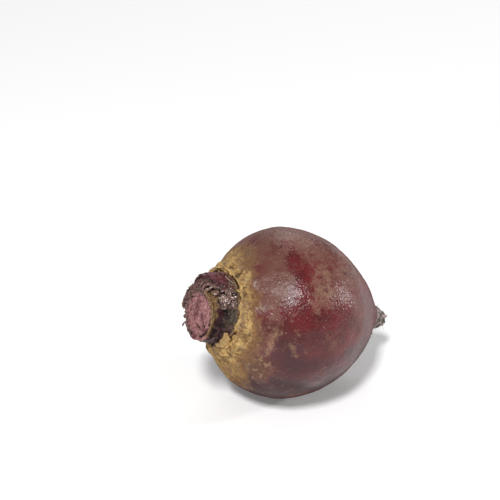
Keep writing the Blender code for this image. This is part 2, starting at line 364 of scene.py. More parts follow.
# Flakes on the side that shows: azimuth, turn, radius, reach as a share of the longest, outward lean, width
SEEN_FLAKES = (
    (-147, 43, 17.2, 1.30, -2.7, 8.8),
    (-160, 14, 16.5, 0.60, 0.4, 4.0),
    (-126, -10, 17.0, 0.50, 1.1, 3.0),
    (-100, 8, 16.3, 0.60, -0.7, 4.2),
    (-84, -10, 16.4, 0.62, -0.8, 2.8),
    (-71, 9, 16.3, 0.48, -0.6, 2.6),
    (-58, -8, 16.4, 0.58, -0.5, 2.4),
    (-43, 9, 16.4, 0.42, -0.4, 2.2),
    (2, -15, 17.3, 0.60, 0.3, 2.6),
    (24, 12, 17.4, 0.70, 0.8, 3.0),
)
HIDDEN_FLAKES = 13
FLAKE_POINTS = 9
FLAKE_SINK = 0.1
FLAKE_THICKNESS = 0.5
FLAKE_CUP = 0.18

ROOT_HAIRS = 46
TIP_FIBRES = 9
STUMP_FIBRES = 30
THREAD_POINTS = 9
THREAD_SIDES = 6

# Colours that only touch up the ones that a user may change
BROWN_STAIN = (0.105, 0.050, 0.024)
TAN_BLOTCH = (0.270, 0.150, 0.088)
PALE_DOT = (0.36, 0.20, 0.17)
OLIVE_CORK = (0.190, 0.115, 0.050)
GREYISH_CORK = (0.260, 0.180, 0.115)
# Painted shadow inside the cork's clefts
PAINTED_CLEFT_SHADOW = (0.062, 0.028, 0.016)
CORK_BORDER = (0.230, 0.112, 0.050)
RED_STALK = (0.085, 0.014, 0.022)
ROSY_STALK = (0.150, 0.028, 0.036)
TORN_FIBRE = ((0.060, 0.022, 0.022), (0.340, 0.180, 0.165))
DRY_FIBRE = (0.050, 0.030, 0.020)
DRY_LUMP = ((0.105, 0.050, 0.046), (0.350, 0.210, 0.165))
OLIVE_LUMP = (0.150, 0.098, 0.045)
# Painted glints on the crests of the lumps
PAINTED_LUMP_GLINT = (0.66, 0.54, 0.52)
OCHRE = ((0.120, 0.062, 0.026), (0.400, 0.250, 0.105))
OCHRE_PIT = (0.055, 0.024, 0.016)
WINE_FLESH = (0.110, 0.024, 0.034)
# Dark red of the gaps and clefts in the cut end, partly painted shade
GAP_RED_AND_PAINTED_SHADE = (0.040, 0.006, 0.009)
GREEN_BUD = (0.060, 0.050, 0.036)
WITHERED = ((0.060, 0.034, 0.020), (0.260, 0.160, 0.070))
# Painted shade in the hollows of the stump
PAINTED_HOLLOW_SHADE = (0.006, 0.003, 0.003)
PALE_CREST = (0.44, 0.27, 0.24)
FLAKE_TIP = (0.095, 0.052, 0.030)
FIBRE = ((0.110, 0.066, 0.050), (0.430, 0.310, 0.250))

# The shader's own settings: gloss of the skin, of the stump and of the dry pieces
SKIN_SPECULAR = 0.28
SKIN_COAT_ROUGHNESS = 0.22
DRY_SPECULAR = 0.3
LUMP_COAT_ROUGHNESS = 0.08

WHITE = (1.0, 1.0, 1.0)
WORLD_STRENGTH = 0.22
FLOOR_HALF_SIDE = 3.0
FLOOR_GLOW = 0.12
FLOOR_ROUGHNESS = 0.9
FLOOR_SPECULAR = 0.1
# Name, azimuth and elevation it shines from, distance, width, height, power
LIGHTS = (
    ("key_light", -45, 53, 2.0, 0.28, 0.44, 35.0),
    ("side_light", 65, 17, 2.0, 0.16, 0.24, 15.0),
    ("back_light", 146, 31, 2.0, 1.0, 0.5, 8.0),
)

CAMERA_AZIMUTH = -31.0
CAMERA_ELEVATION = 27.0
CAMERA_DISTANCE = 0.52
LENS = 85.0
PICTURE_PIXELS = 500
SENSOR = 36.0
GIRTH_IN_PICTURE = (284.5, 312.2)


def rgb(name, description, default):
    """A colour that a user may change."""
    return bpy.props.FloatVectorProperty(
        name=name, description=description, default=default, subtype="COLOR", size=3, min=0.0, max=1.0
    )


def length(name, description, default):
    """A size in metres that a user may change."""
    return bpy.props.FloatProperty(
        name=name,
        description=description,
        default=default,
        unit="LENGTH",
        subtype="DISTANCE",
        min=0.0,
        precision=5,
    )


class BeetrootSizes(bpy.types.PropertyGroup):
    """Driving sizes of the beetroot."""

    girth_radius: length("Girth radius", "Radius of the root at its widest", 0.038)
    seat_height: length("Seat height", "Height of the stump's seat above the widest girth", 0.0332)
    seat_radius: length("Seat radius", "Radius of the seat that the stump stands in", 0.016)
    collar_rise: length("Collar rise", "Height of the corky collar round the stump", 0.001)
    tail_length: length("Tail length", "From the widest girth to the tip of the tap root", 0.0568)
    neck_height: length("Stump height", "Height of the cut stump of leaf stalks", 0.0118)
    cork_relief: length("Cork relief", "Height of the knobbly cork round the crown", 0.0005)
    skin_relief: length("Skin relief", "Height of the fine unevenness of the skin", 0.00008)
    fibre_relief: length("Fibre relief", "Height of the fibres on the cut stalks", 0.0003)
    flake_length: length("Flake length", "Length of the dry flakes round the stump", 0.0052)
    hair_length: length("Hair length", "Length of the longest root hairs", 0.006)
    crown_tilt: bpy.props.FloatProperty(
        name="Crown tilt",
        description="How far the crown end is raised as the beetroot lies",
        default=math.radians(17.0),
        subtype="ANGLE",
        unit="ROTATION",
    )


class BeetrootColours(bpy.types.PropertyGroup):
    """Colours of the beetroot."""

    red: rgb("Clean skin", "Skin where no soil sticks", (0.128, 0.011, 0.014))
    # Mixed in on the side that faces down: partly the skin's own darker colour there, partly painted shade
    purple: rgb("Dark skin", "Skin on the shaded underside", (0.044, 0.010, 0.013))
    brown: rgb("Dusty skin", "Skin under a film of dry soil", (0.148, 0.056, 0.040))
    soil: rgb("Dried soil", "Pale specks of dried soil", (0.270, 0.150, 0.100))
    cork: rgb("Cork", "Corky skin round the crown", (0.330, 0.185, 0.058))
    pale_cork: rgb("Pale cork", "Ridges of the cork", (0.620, 0.415, 0.165))
    # Dark cork also paints shade into the hollows of the cork and of the tap root's tip
    dark_cork: rgb("Dark cork", "Clefts and pits of the cork", (0.060, 0.030, 0.014))
    flesh: rgb("Cut stalk", "Fresh cut end of the leaf stalks", (0.245, 0.068, 0.078))
    pale_flesh: rgb("Stalk fibres", "Pale fibres in the cut end", (0.500, 0.280, 0.260))
    stalk_skin: rgb("Stalk skin", "Dark skin of the leaf stalks", (0.030, 0.006, 0.009))
    dry_stalk: rgb("Dry stalk", "Dried stalk ends", (0.110, 0.062, 0.045))
    grey: rgb("Grey root tip", "Dry skin of the tap root", (0.330, 0.265, 0.245))
    floor: rgb("Floor", "The pale floor", (0.90, 0.90, 0.90))


def sizes():
    """The sizes that are set in the scene, in metres."""
    return bpy.context.scene.beetroot_sizes


def colours():
    """The colours that are set in the scene."""
    return bpy.context.scene.beetroot_colours


def mm(value):
    """A size of the property group, in millimetres."""
    return value / MM


def clamped(share):
    """The share, kept between 0 and 1."""
    return min(1.0, max(0.0, share))


def smooth_step(low, high, value):
    """Rises from 0 at low to 1 at high."""
    share = np.clip((np.asarray(value, float) - low) / (high - low), 0.0, 1.0)
    return share * share * (3 - 2 * share)


def bell(distance, width):
    """1 where the distance is 0, falling off softly to both sides over this width."""
    return math.exp(-((distance / width) ** 2))


def layered(p, layers):
    """The sum of noises at p, each given by its spacing and its height."""
    return sum(height * noise.noise(p / spacing) for spacing, height in layers)


def around_axis(azimuth_deg, radius, height):
    """The point at this azimuth, distance from the axis and height."""
    a = math.radians(azimuth_deg)
    return Vector((radius * math.cos(a), radius * math.sin(a), height))


def turn(count):
    """This many angles, spread evenly over a full turn."""
    return [2 * math.pi * i / count for i in range(count)]


def laid_down():
    """From the beetroot's own axis, in millimetres, to where it lies, in metres."""
    tilt = Matrix.Rotation(sizes().crown_tilt - math.pi / 2, 4, "Y")
    return Matrix.Scale(MM, 4) @ Matrix.Translation(GIRTH_CENTRE) @ tilt


def root_stations():
    """The outline of the root as (height, radius), from the crown's seat to the tip of the tail."""
    size = sizes()
    g = mm(size.girth_radius)
    seat, seat_radius = mm(size.seat_height), mm(size.seat_radius)
    tail = mm(size.tail_length)
    return [
        (seat, 0.0),
        (seat, 0.5 * seat_radius),
        (seat, seat_radius - SEAT_MARGIN),
        (seat + mm(size.collar_rise), seat_radius + COLLAR_WIDTH),
        (0.80 * g, 0.53 * g),
        (0.66 * g, 0.67 * g),
        (0.46 * g, 0.855 * g),
        (0.20 * g, 0.975 * g),
        (-0.08 * g, 0.998 * g),
        (-0.38 * g, 0.925 * g),
        (-0.70 * g, 0.725 * g),
        (-0.98 * g, 0.47 * g),
        (-1.14 * g, 0.29 * g),
        (-0.85 * tail, 0.18 * g),
        (-0.92 * tail, 0.13 * g),
        (-0.975 * tail, 0.10 * g),
        (-0.995 * tail, 0.065 * g),
        (-tail, 0.0),
    ]


def smooth_through(points, per_span=60):
    """A centripetal Catmull-Rom curve through the points."""
    knots = np.array(points, float)
    ends = np.vstack([2 * knots[0] - knots[1], knots, 2 * knots[-1] - knots[-2]])
    curve = []
    for p0, p1, p2, p3 in zip(ends, ends[1:], ends[2:], ends[3:]):
        t1 = math.sqrt(np.linalg.norm(p1 - p0))
        t2 = t1 + math.sqrt(np.linalg.norm(p2 - p1))
        t3 = t2 + math.sqrt(np.linalg.norm(p3 - p2))
        for t in np.linspace(t1, t2, per_span, endpoint=False):
            a1 = ((t1 - t) * p0 + t * p1) / t1
            a2 = ((t2 - t) * p1 + (t - t1) * p2) / (t2 - t1)
            a3 = ((t3 - t) * p2 + (t - t2) * p3) / (t3 - t2)
            b1 = ((t2 - t) * a1 + t * a2) / t2
            b2 = ((t3 - t) * a2 + (t - t1) * a3) / (t3 - t1)
            curve.append(((t2 - t) * b1 + (t - t1) * b2) / (t2 - t1))
    curve.append(knots[-1])
    return np.array(curve)


def spaced_by_radius(curve, count):
    """Points along the outline, closer together where the root is thinner."""
    steps = np.linalg.norm(np.diff(curve, axis=0), axis=1)
    middle_radius = 0.5 * (curve[1:, 1] + curve[:-1, 1])
    weight = RING_EVENNESS * mm(sizes().girth_radius) + middle_radius
    share = np.concatenate([[0.0], np.cumsum(steps / weight)])
    at = np.linspace(0.0, share[-1], count)
    return np.column_stack([np.interp(at, share, curve[:, 0]), np.interp(at, share, curve[:, 1])])


def swelling(p):
    """The broad unevenness that makes the root lopsided."""
    total = 0.0
    for from_crown, azimuth, spread, height in SWELLINGS:
        f = math.radians(from_crown)
        centre = around_axis(azimuth, math.sin(f), math.cos(f))
        total += height * bell(math.degrees(p.angle(centre, 0.0)), spread)
    return total


def broad_relief(p):
    """How far the surface stands out from the turned outline at p, as in the solids."""
    size = sizes_now
    radius = math.hypot(p.x, p.y)
    off_seat = clamped((radius - size["seat_radius"] - SEAT_MARGIN) / SEAT_FADE) if p.z > 0 else 1.0
    broad = clamped(radius / POLE_FADE) * (swelling(p) + layered(p, LUMPS))
    furrows = 0.0
    if p.z > 0:
        beside_crown = bell(radius - size["seat_radius"] - SEAT_FADE, FURROW_REACH)
        around = Vector((p.x, p.y, 0.0)).normalized() * FURROW_PACE
        furrows = FURROW_HEIGHT * beside_crown * noise.noise(around + Vector((0, 0, p.z / FURROW_STRETCH)))
    on_tail = clamped((-p.z - size["tail_start"]) / TAIL_FADE)
    creases = 0.0
    if on_tail > 0:
        around = Vector((p.x, p.y, 0.0)) * CREASE_PACE / max(radius, 0.5)
        creases = CREASE_HEIGHT * noise.noise(around + Vector((0, 0, p.z / CREASE_STRETCH)))
        creases += TAIL_RING_HEIGHT * math.sin(TAIL_RING_PACE * p.z)
    return off_seat * (broad + furrows + on_tail * creases)


def off_axis(height):
    """How far the middle of the root lies beside the axis at this height."""
    size = sizes_now
    at_crown = clamped((height - CROWN_OFFSET_START) / (size["seat_height"] - CROWN_OFFSET_START))
    at_tail = max(0.0, -height - size["tail_start"]) / (size["tail_length"] - size["tail_start"])
    return around_axis(OFF_AXIS_AZIMUTH, CROWN_OFFSET * at_crown**2 - TAIL_BEND * at_tail**1.5, 0.0)


sizes_now = {}


def read_sizes():
    """Takes the sizes that the shaping functions use, in millimetres."""
    size = sizes()
    for name in ("girth_radius", "seat_radius", "seat_height", "tail_length", "neck_height"):
        sizes_now[name] = mm(getattr(size, name))
    sizes_now["tail_start"] = TAIL_START_SHARE * sizes_now["girth_radius"]
    sizes_now["foot_radius"] = sizes_now["seat_radius"] - FOOT_INSET


def cork_edge(azimuth_deg):
    """The angle from the crown at which the corky zone ends, at this azimuth."""
    azimuths, angles = zip(*CORK_EDGE)
    return float(np.interp(azimuth_deg, azimuths, angles))


def patch(p, azimuth, height, along, around, strength):
    """How much of a patch of the skin covers p. Its edge is ragged."""
    radius = math.hypot(p.x, p.y)
    turned = math.atan2(p.y, p.x) - math.radians(azimuth)
    turned = (turned + math.pi) % (2 * math.pi) - math.pi
    distance = math.hypot((p.z - height) / along, turned * radius / around)
    return strength * clamped(1.5 - distance - layered(p, PATCH_RAGGED))


def covered(p, patches):
    """How much of all these patches covers p."""
    return min(1.0, sum(patch(p, *spot) for spot in patches))


def mark(p):
    """How much of a scratch or streak covers p."""
    share = 0.0
    for points, width in MARKS:
        for first, last in zip(points, points[1:]):
            a, b = Vector(first), Vector(last)
            if (p - a).length > LONGEST_STRETCH:
                continue
            along = clamped((p - a).dot(b - a) / (b - a).length_squared)
            aside = (p - a.lerp(b, along)).length
            share = max(share, clamped(1.1 - aside / width + 1.3 * noise.noise(p / 1.1)))
    return clamped(share)


# What is stored for each point of the skin: cork, clean red skin, dried soil, stain, scratch, dust,
# dark underside (partly painted shade), cleft of the cork (painted shadow), and dry tail
ZONES = ("cork", "clean", "soil", "stain", "mark", "dust", "under", "cleft", "tail")
ALL_CORK = (1.0, *[0.0] * 8)
ALL_TAIL = (0.0, 0.0, 0.0, 0.0, 0.0, 0.5, 0.0, 0.0, 1.0)


def skin_zones(p):
    """What covers the skin at p: shares of all the zones but the tail.

    The share of cork passes one half at the cork's edge, and fades over some millimetres to each side of it.
    The share of stain is below 0 where the skin is cleaner than elsewhere.
    """
    azimuth = math.degrees(math.atan2(p.y, p.x))
    from_crown = math.degrees(math.acos(p.z / p.length))
    inside = math.radians(cork_edge(azimuth) - from_crown) * p.length + layered(p, CORK_BORDER_RAGGED)
    cork = clamped(0.5 + inside / (CORK_FADE - SHARP_BORDER_LESS * between(azimuth, *SHARP_BORDER_SIDE)))
    stain = covered(p, STAINS)
    facing_up = math.cos(math.radians(azimuth - DUSTY_SIDE))
    dust = 0.36 + 0.42 * facing_up + 0.5 * stain + layered(p, DUST_UNEVEN)
    dust = clamped(dust - 0.008 * max(0.0, from_crown - DUST_THINS_PAST))
    # Where the skin faces down. The colour turns darker purple there: partly the skin's own colour, partly
    # painted shade
    under = clamped(0.15 - 0.75 * facing_up + 0.35 * noise.noise(p / 11.0) - 0.7 * stain)
    # Painted shadow: how deep a cleft of the cork is, for darkening it
    cleft = clamped(-knobs(p) / 0.8) if p.z > KNOBS_ABOVE else 0.0
    return cork, covered(p, CLEAN_PATCHES), covered(p, SOIL_PATCHES), stain, mark(p), dust, under, cleft


def knobs(p):
    """Knobs and clefts of the cork beside the stalks."""
    azimuth = math.degrees(math.atan2(p.y, p.x))
    from_crown = math.degrees(math.acos(p.z / p.length))
    total = 0.0
    for at_azimuth, at_angle, along, around, height in CORK_KNOBS:
        beside = math.radians((azimuth - at_azimuth + 180.0) % 360.0 - 180.0) * math.hypot(p.x, p.y)
        if abs(beside) > 3 * around:
            continue
        below = math.radians(from_crown - at_angle) * p.length
        total += height * math.exp(-((beside / around) ** 2) - (below / along) ** 2)
    return total


def fine_relief(p, cork, tail):
    """The fine unevenness at p: knobbly, cracked cork, and the skin's own dimples and scars."""
    size = sizes()
    rough = 0.0
    if cork > 0.0:
        warp = Vector((noise.noise(p / 2.5), noise.noise(p / 2.5 + ASIDE), noise.noise(p / 2.5 - ASIDE)))
        q = p + 0.9 * warp
        scaly = clamped(0.55 + 1.6 * noise.noise(p / 5.5))
        knobbly = noise.noise(q / 3.0) + scaly * layered(q, CORK_CRUMPLED)
        near, far = noise.voronoi(q / 2.1)[0][:2]
        cracks = 0.6 * scaly * float(smooth_step(0.20, 0.0, far - near))
        rough = cork * mm(size.cork_relief) * (knobbly - cracks)
    scars = max(0.0, noise.noise(Vector((p.x / 5.0, p.y / 5.0, p.z / 0.7))) - 0.38)
    on_skin = mm(size.skin_relief) * (layered(p, DIMPLES) - 2.5 * scars)
    torn = 0.0
    if tail > 0.0:
        around = Vector((p.x, p.y, 0.0)).normalized()
        torn = noise.noise(around * 5.0 + Vector((0, 0, p.z / 3.0))) + 0.7 * noise.noise(p / 1.1)
    return rough + (1 - cork) * on_skin + tail * 0.35 * torn


def collar_fill(p):
    """How far the cork swells up against the stump's foot at p. It leaves a deep gap on one side."""
    radius = math.hypot(p.x, p.y)
    azimuth = math.degrees(math.atan2(p.y, p.x))
    open_gap = clamped(1.3 - abs(azimuth - COLLAR_GAP) / COLLAR_GAP_REACH)
    snug = (1.0 - 0.9 * open_gap) * (1.0 + layered(p, COLLAR_UNEVEN))
    return snug * bell(radius - COLLAR_RADIUS - 1.3 * noise.noise(p / 2.2 + ASIDE), COLLAR_SPREAD)


def object_from(name, bm):
    """A smooth-shaded object of the mesh, laid down into the row's frame."""
    bmesh.ops.recalc_face_normals(bm, faces=bm.faces)
    mesh = bpy.data.meshes.new(name)
    bm.to_mesh(mesh)
    bm.free()
    mesh.shade_smooth()
    obj = bpy.data.objects.new(name, mesh)
    bpy.context.scene.collection.objects.link(obj)
    return obj


def set_attribute(mesh, name, values):
    """A number for each vertex, for the material to read."""
    attribute = mesh.attributes.new(name, "FLOAT", "POINT")
    attribute.data.foreach_set("value", np.asarray(values, np.float32))


def set_place(mesh, points):
    """Each vertex's place about the beetroot's own axis, in millimetres, for the textures."""
    attribute = mesh.attributes.new("place", "FLOAT_VECTOR", "POINT")
    attribute.data.foreach_set("vector", np.asarray(points, np.float32).ravel())


def hollowness(mesh, rounds):
    """How deep each vertex lies below the average of its neighbours, in the mesh's own units."""
    count = len(mesh.vertices)
    place = np.empty(count * 3)
    mesh.vertices.foreach_get("co", place)
    place = place.reshape(-1, 3)
    pairs = np.empty(len(mesh.edges) * 2, np.int64)
    mesh.edges.foreach_get("vertices", pairs)
    pairs = pairs.reshape(-1, 2)
    degree = np.bincount(pairs.ravel(), minlength=count)[:, None]
    soft = place.copy()
    for _ in range(rounds):
        total = np.zeros_like(soft)
        np.add.at(total, pairs[:, 0], soft[pairs[:, 1]])
        np.add.at(total, pairs[:, 1], soft[pairs[:, 0]])
        soft = 0.5 * soft + 0.5 * total / np.maximum(degree, 1)
    normals = np.empty(count * 3)
    mesh.vertices.foreach_get("normal", normals)
    return ((soft - place) * normals.reshape(-1, 3)).sum(1)


def add_side_roots(bm):
    """The broken stubs of side roots near the tip of the tail, with torn ends. Returns their points."""
    tail = smooth_through(root_stations())
    tail = tail[tail[:, 0] < -sizes_now["tail_start"]]
    before = len(bm.verts)
    for from_tip, azimuth, length in SIDE_ROOTS:
        height = from_tip - sizes_now["tail_length"]
        outward = around_axis(azimuth, 1.0, -0.25).normalized()
        across = outward.cross(Vector((0, 0, 1))).normalized()
        up = across.cross(outward)
        foot = Vector((0.0, 0.0, height)) + off_axis(height)
        tail_radius = float(np.interp(-height, -tail[:, 0], tail[:, 1]))
        reach = tail_radius + length
        rings = []
        for along in np.linspace(0.4 * tail_radius, reach, SIDE_ROOT_RINGS).tolist():
            beyond = max(0.0, along - tail_radius) / length
            radius = SIDE_ROOT_RADIUS * (1.25 - 0.4 * along / reach - 0.4 * beyond**2)
            middle = foot + outward * along - Vector((0, 0, 0.35 * beyond**2))
            ring = []
            for a in turn(SIDE_ROOT_SIDES):
                out = across * math.cos(a) + up * math.sin(a)
                uneven = 1.0 + 0.3 * noise.noise(1.6 * out + middle / 1.5)
                torn = 0.5 * beyond * noise.noise(3.0 * out + middle)
                ring.append(middle + out * (radius * uneven) + outward * torn)
            rings.append(ring)
        add_loft(bm, rings, middle_of(rings[0]), middle_of(rings[-1]))
    bm.verts.ensure_lookup_table()
    return [v.co.copy() for v in bm.verts[before:]]


def skin_outline():
    """Rings of the root as height, radius and the normal out and up, and how many are in the seat."""
    curve = smooth_through(root_stations())
    rim = int(np.argmax(curve[:, 1] >= sizes_now["seat_radius"] - 0.5))
    seat = curve[np.linspace(0, rim, SEAT_RINGS).astype(int)][:-1]
    outline = np.vstack([seat, spaced_by_radius(curve[rim:], BODY_RINGS)])
    slope = np.gradient(outline, axis=0)
    slope /= np.linalg.norm(slope, axis=1)[:, None]
    sign = np.where((np.arange(len(outline)) < len(seat)) | (slope[:, 0] <= 0), 1.0, -1.0)
    return np.column_stack([outline, -sign * slope[:, 0], sign * slope[:, 1]]).tolist(), len(seat)


def skin_point(p, normal):
    """The point of the finished skin that lies above p of the turned outline, and its zones."""
    q = p + normal * broad_relief(p)
    tail = clamped((-q.z - DRY_TIP_START) / DRY_TIP_FADE + 0.5 * noise.noise(q / 3.0))
    cork, *covers = skin_zones(q)
    off_seat = 1.0
    if q.z > 0:
        off_seat = clamped((math.hypot(q.x, q.y) - sizes_now["seat_radius"] + 0.2) / 1.2)
    if q.z > KNOBS_ABOVE:
        q += normal * (off_seat * knobs(q))
    q += normal * (off_seat * fine_relief(q, float(smooth_step(0.35, 0.8, cork)), tail))
    if q.z > COLLAR_ABOVE:
        q.z += collar_fill(q)
    return q, (cork, *covers, tail)


def skin_mesh():
    """The whole root as one fine closed surface, with its zones stored on it."""
    outline, seat_count = skin_outline()
    places, zones = [], []
    for i, (height, radius, outwards, upwards) in enumerate(outline[1:-1], 1):
        for a in turn(ROOT_SEGMENTS):
            c, s = math.cos(a), math.sin(a)
            normal = Vector((outwards * c, outwards * s, upwards))
            p = Vector((radius * c, radius * s, height))
            if i < seat_count:
                place, zone = p + normal * broad_relief(p), ALL_CORK
            else:
                place, zone = skin_point(p, normal)
            places.append(place)
            zones.append(zone)
    poles = [Vector((0, 0, height)) for height in (outline[0][0], outline[-1][0])]
    bm = bmesh.new()
    verts = [bm.verts.new(p + off_axis(p.z)) for p in places]
    start, end = (bm.verts.new(p + off_axis(p.z)) for p in poles)
    rings = [verts[i : i + ROOT_SEGMENTS] for i in range(0, len(verts), ROOT_SEGMENTS)]
    for upper, lower in zip(rings, rings[1:]):
        for i in range(ROOT_SEGMENTS):
            bm.faces.new((upper[i - 1], upper[i], lower[i], lower[i - 1]))
    for i in range(ROOT_SEGMENTS):
        bm.faces.new((start, rings[0][i], rings[0][i - 1]))
        bm.faces.new((end, rings[-1][i - 1], rings[-1][i]))
    stubs = add_side_roots(bm)
    skin = object_from("root_skin", bm)
    places += [*poles, *stubs]
    zones += [ALL_CORK, *[ALL_TAIL] * (1 + len(stubs))]
    set_place(skin.data, [tuple(p) for p in places])
    for name, values in zip(ZONES, zip(*zones)):
        set_attribute(skin.data, name, values)
    # The material paints shade into the hollows found here, and a partly painted highlight on the tip's
    # crests
    set_attribute(skin.data, "hollow", hollowness(skin.data, rounds=5))
    skin.data.transform(laid_down())
    for v in skin.data.vertices:
        v.co.z = max(v.co.z, FLOOR_CLEARANCE * MM)
    return skin


class Paint:
    """Short calls that build one material's nodes."""

    def __init__(self, name):
        self.material = bpy.data.materials.new(name)
        self.material.use_nodes = True
        self.tree = self.material.node_tree
        self.shader = self.tree.nodes["Principled BSDF"]

    def add(self, kind, sockets, output=0, **settings):
        """A node with its sockets set or linked. Returns one of its outputs."""
        node = self.tree.nodes.new(kind)
        for key, value in settings.items():
            setattr(node, key, value)
        for key, value in sockets.items():
            self.put(node.inputs[key], value)
        return node.outputs[output]

    def put(self, socket, value):
        """Links the socket, or sets it where the value is a number or a colour."""
        if isinstance(value, bpy.types.NodeSocket):
            self.tree.links.new(value, socket)
        elif socket.type == "RGBA":
            socket.default_value = (*value[:3], 1.0)
        else:
            socket.default_value = value

    def zone(self, name):
        """A number that is stored on the mesh under this name."""
        return self.add("ShaderNodeAttribute", {}, "Fac", attribute_name=name)

    def place(self):
        """The place about the beetroot's own axis, in millimetres, as it is stored on the mesh."""
        return self.add("ShaderNodeAttribute", {}, "Vector", attribute_name="place")

    def noise(self, vector, spacing, detail=3.0, roughness=0.55, distortion=0.0):
        """Noise whose features are about this many millimetres apart."""
        sockets = {
            "Vector": vector,
            "Scale": 1.0 / spacing,
            "Detail": detail,
            "Roughness": roughness,
            "Distortion": distortion,
        }
        return self.add("ShaderNodeTexNoise", sockets, "Fac")

    def cells(self, vector, spacing):
        """Distance from the middles of cells that are about this many millimetres apart."""
        return self.add("ShaderNodeTexVoronoi", {"Vector": vector, "Scale": 1.0 / spacing}, "Distance")

    def part_of(self, vector, axis):
        """The vector's part along one axis."""
        return self.add("ShaderNodeSeparateXYZ", {"Vector": vector}, axis)

    def math(self, operation, a, b):
        return self.add("ShaderNodeMath", {0: a, 1: b}, operation=operation)

    def plus(self, a, b):
        return self.math("ADD", a, b)

    def times(self, a, b):
        return self.math("MULTIPLY", a, b)

    def vary(self, value, texture, swing):
        """value, raised where the texture is above its middle and lowered where it is below."""
        return self.plus(value, self.times(self.math("SUBTRACT", texture, 0.5), swing))

    def window(self, value, low, high, out_low=0.0, out_high=1.0):
        """value from low to high, as out_low to out_high, eased at both ends."""
        sockets = {"Value": value, "From Min": low, "From Max": high, "To Min": out_low, "To Max": out_high}
        return self.add("ShaderNodeMapRange", sockets, interpolation_type="SMOOTHSTEP")

    def mix(self, share, a, b):
        """From colour a to colour b, by this share."""
        return self.add("ShaderNodeMix", {0: share, 6: a, 7: b}, 2, data_type="RGBA")

    def stretched(self, vector, factors):
        """The vector with its three parts scaled. A factor below 1 draws a texture out along that axis."""
        return self.add("ShaderNodeVectorMath", {0: vector, 1: factors}, operation="MULTIPLY")

    def bump(self, height, distance, strength=1.0, under=None):
        """Small relief of this height in millimetres, on top of the relief under it."""
        sockets = {"Height": height, "Distance": distance * MM, "Strength": strength}
        if under is not None:
            sockets["Normal"] = under
        return self.add("ShaderNodeBump", sockets)

    def finish(self, obj, colour, roughness, normal, specular, coat=None, coat_roughness=0.0):
        """Puts all into the shader, and the material on the object. The coat is a thin gloss on top."""
        self.put(self.shader.inputs["Base Color"], colour)
        self.put(self.shader.inputs["Roughness"], roughness)
        self.put(self.shader.inputs["Normal"], normal)
        self.shader.inputs["Specular IOR Level"].default_value = specular
        if coat is not None:
            self.put(self.shader.inputs["Coat Weight"], coat)
            self.shader.inputs["Coat Roughness"].default_value = coat_roughness
        obj.data.materials.clear()
        obj.data.materials.append(self.material)


def scaled(colour, factor):
    """The same colour, darker or paler."""
    return [factor * value for value in colour]


def shown(obj, record_slot, *nodes):
    """The piece rides on the root body and stands for these nodes, which it hides. The record_slot argument
    is not used.
    """
    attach(obj, "root")
    if nodes:
        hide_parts(*nodes)


def skin_textures(p):
    """The zones stored on the skin, and the textures that its colour, gloss and bumps share, by name."""
    at = SimpleNamespace(**{name: p.zone(name) for name in (*ZONES, "hollow")})
    at.place = p.place()
    at.patches = p.noise(at.place, 9.0, 4.0, 0.6)
    at.mottle = p.noise(at.place, 2.4, 5.0, 0.68)
    at.grain = p.noise(at.place, 0.9, 4.0, 0.72)
    at.fine = p.noise(at.place, 0.5, 2.0, 0.8)
    at.specks = p.window(p.cells(at.place, 1.05), 0.30, 0.12)
    at.crumbs = p.window(p.cells(p.stretched(at.place, (1.0, 1.0, 1.25)), 2.1), 0.27, 0.08)
    streaks = p.noise(p.stretched(at.place, (0.25, 0.25, 1.3)), 2.2, 4.0, 0.6)

    film = p.vary(p.vary(p.vary(at.dust, at.mottle, 1.6), at.grain, 1.0), at.fine, 1.0)
    film = p.math("SUBTRACT", film, p.times(at.clean, 0.8))
    at.film = p.vary(film, streaks, 0.6)
    caked = p.vary(p.vary(at.soil, at.mottle, 2.4), at.grain, 2.0)
    at.caked = p.times(p.window(caked, 0.35, 1.25), p.window(at.fine, 0.40, 0.60, 0.15, 1.0))
    at.border = p.vary(p.vary(p.vary(at.cork, at.mottle, 1.0), at.grain, 0.7), at.patches, 0.5)
    at.corky = p.window(at.border, 0.34, 0.72)
    # Seen aslant, fine dust kills the skin's gloss
    at.glancing = p.add("ShaderNodeLayerWeight", {"Blend": 0.5}, "Facing")
    return at


def skin_colour(p, at, tone):
    """Deep red skin under a film of dust, with soil, stains, dots and scratches, and darker purple towards
    the underside: partly the skin's own colour, partly painted shade.
    """
    red = p.mix(p.window(at.patches, 0.35, 0.65), tone.red, scaled(tone.red, 0.60))
    # Painted shade: the skin turns dark purple towards the underside, and in some random patches
    painted_shade_and_patches = p.plus(at.under, p.times(at.patches, 0.5))
    skin = p.mix(p.window(painted_shade_and_patches, 0.20, 0.88), red, tone.purple)
    skin = p.mix(p.window(at.film, 0.0, 0.9, 0.0, 0.95), skin, tone.brown)
    skin = p.mix(p.window(at.grain, 0.52, 0.70, 0.0, 0.55), skin, scaled(tone.brown, 0.42))
    skin = p.mix(p.window(at.fine, 0.42, 0.28, 0.0, 0.4), skin, scaled(tone.brown, 1.6))
    loose = p.plus(at.film, p.times(at.soil, 0.6))
    skin = p.mix(p.times(at.specks, p.window(loose, 0.1, 1.1, 0.05, 0.60)), skin, tone.soil)
    skin = p.mix(p.times(at.caked, 0.72), skin, tone.soil)

    dirt = p.vary(at.stain, at.mottle, 1.2)
    skin = p.mix(p.window(dirt, 0.3, 1.1, 0.0, 0.9), skin, BROWN_STAIN)
    blotches = p.window(p.noise(at.place, 2.3, 2.0, 0.6), 0.55, 0.63)
    blotches = p.times(blotches, p.window(at.stain, 0.2, 0.7))
    skin = p.mix(p.times(blotches, 0.8), skin, TAN_BLOTCH)
    dots = p.window(p.cells(at.place, 3.4), 0.095, 0.055, 0.0, 0.7)
    skin = p.mix(dots, skin, PALE_DOT)
    scratch = p.times(at.mark, p.window(at.fine, 0.38, 0.58, 0.05, 0.48))
    return p.mix(scratch, skin, p.mix(0.35, tone.soil, tone.pale_cork))


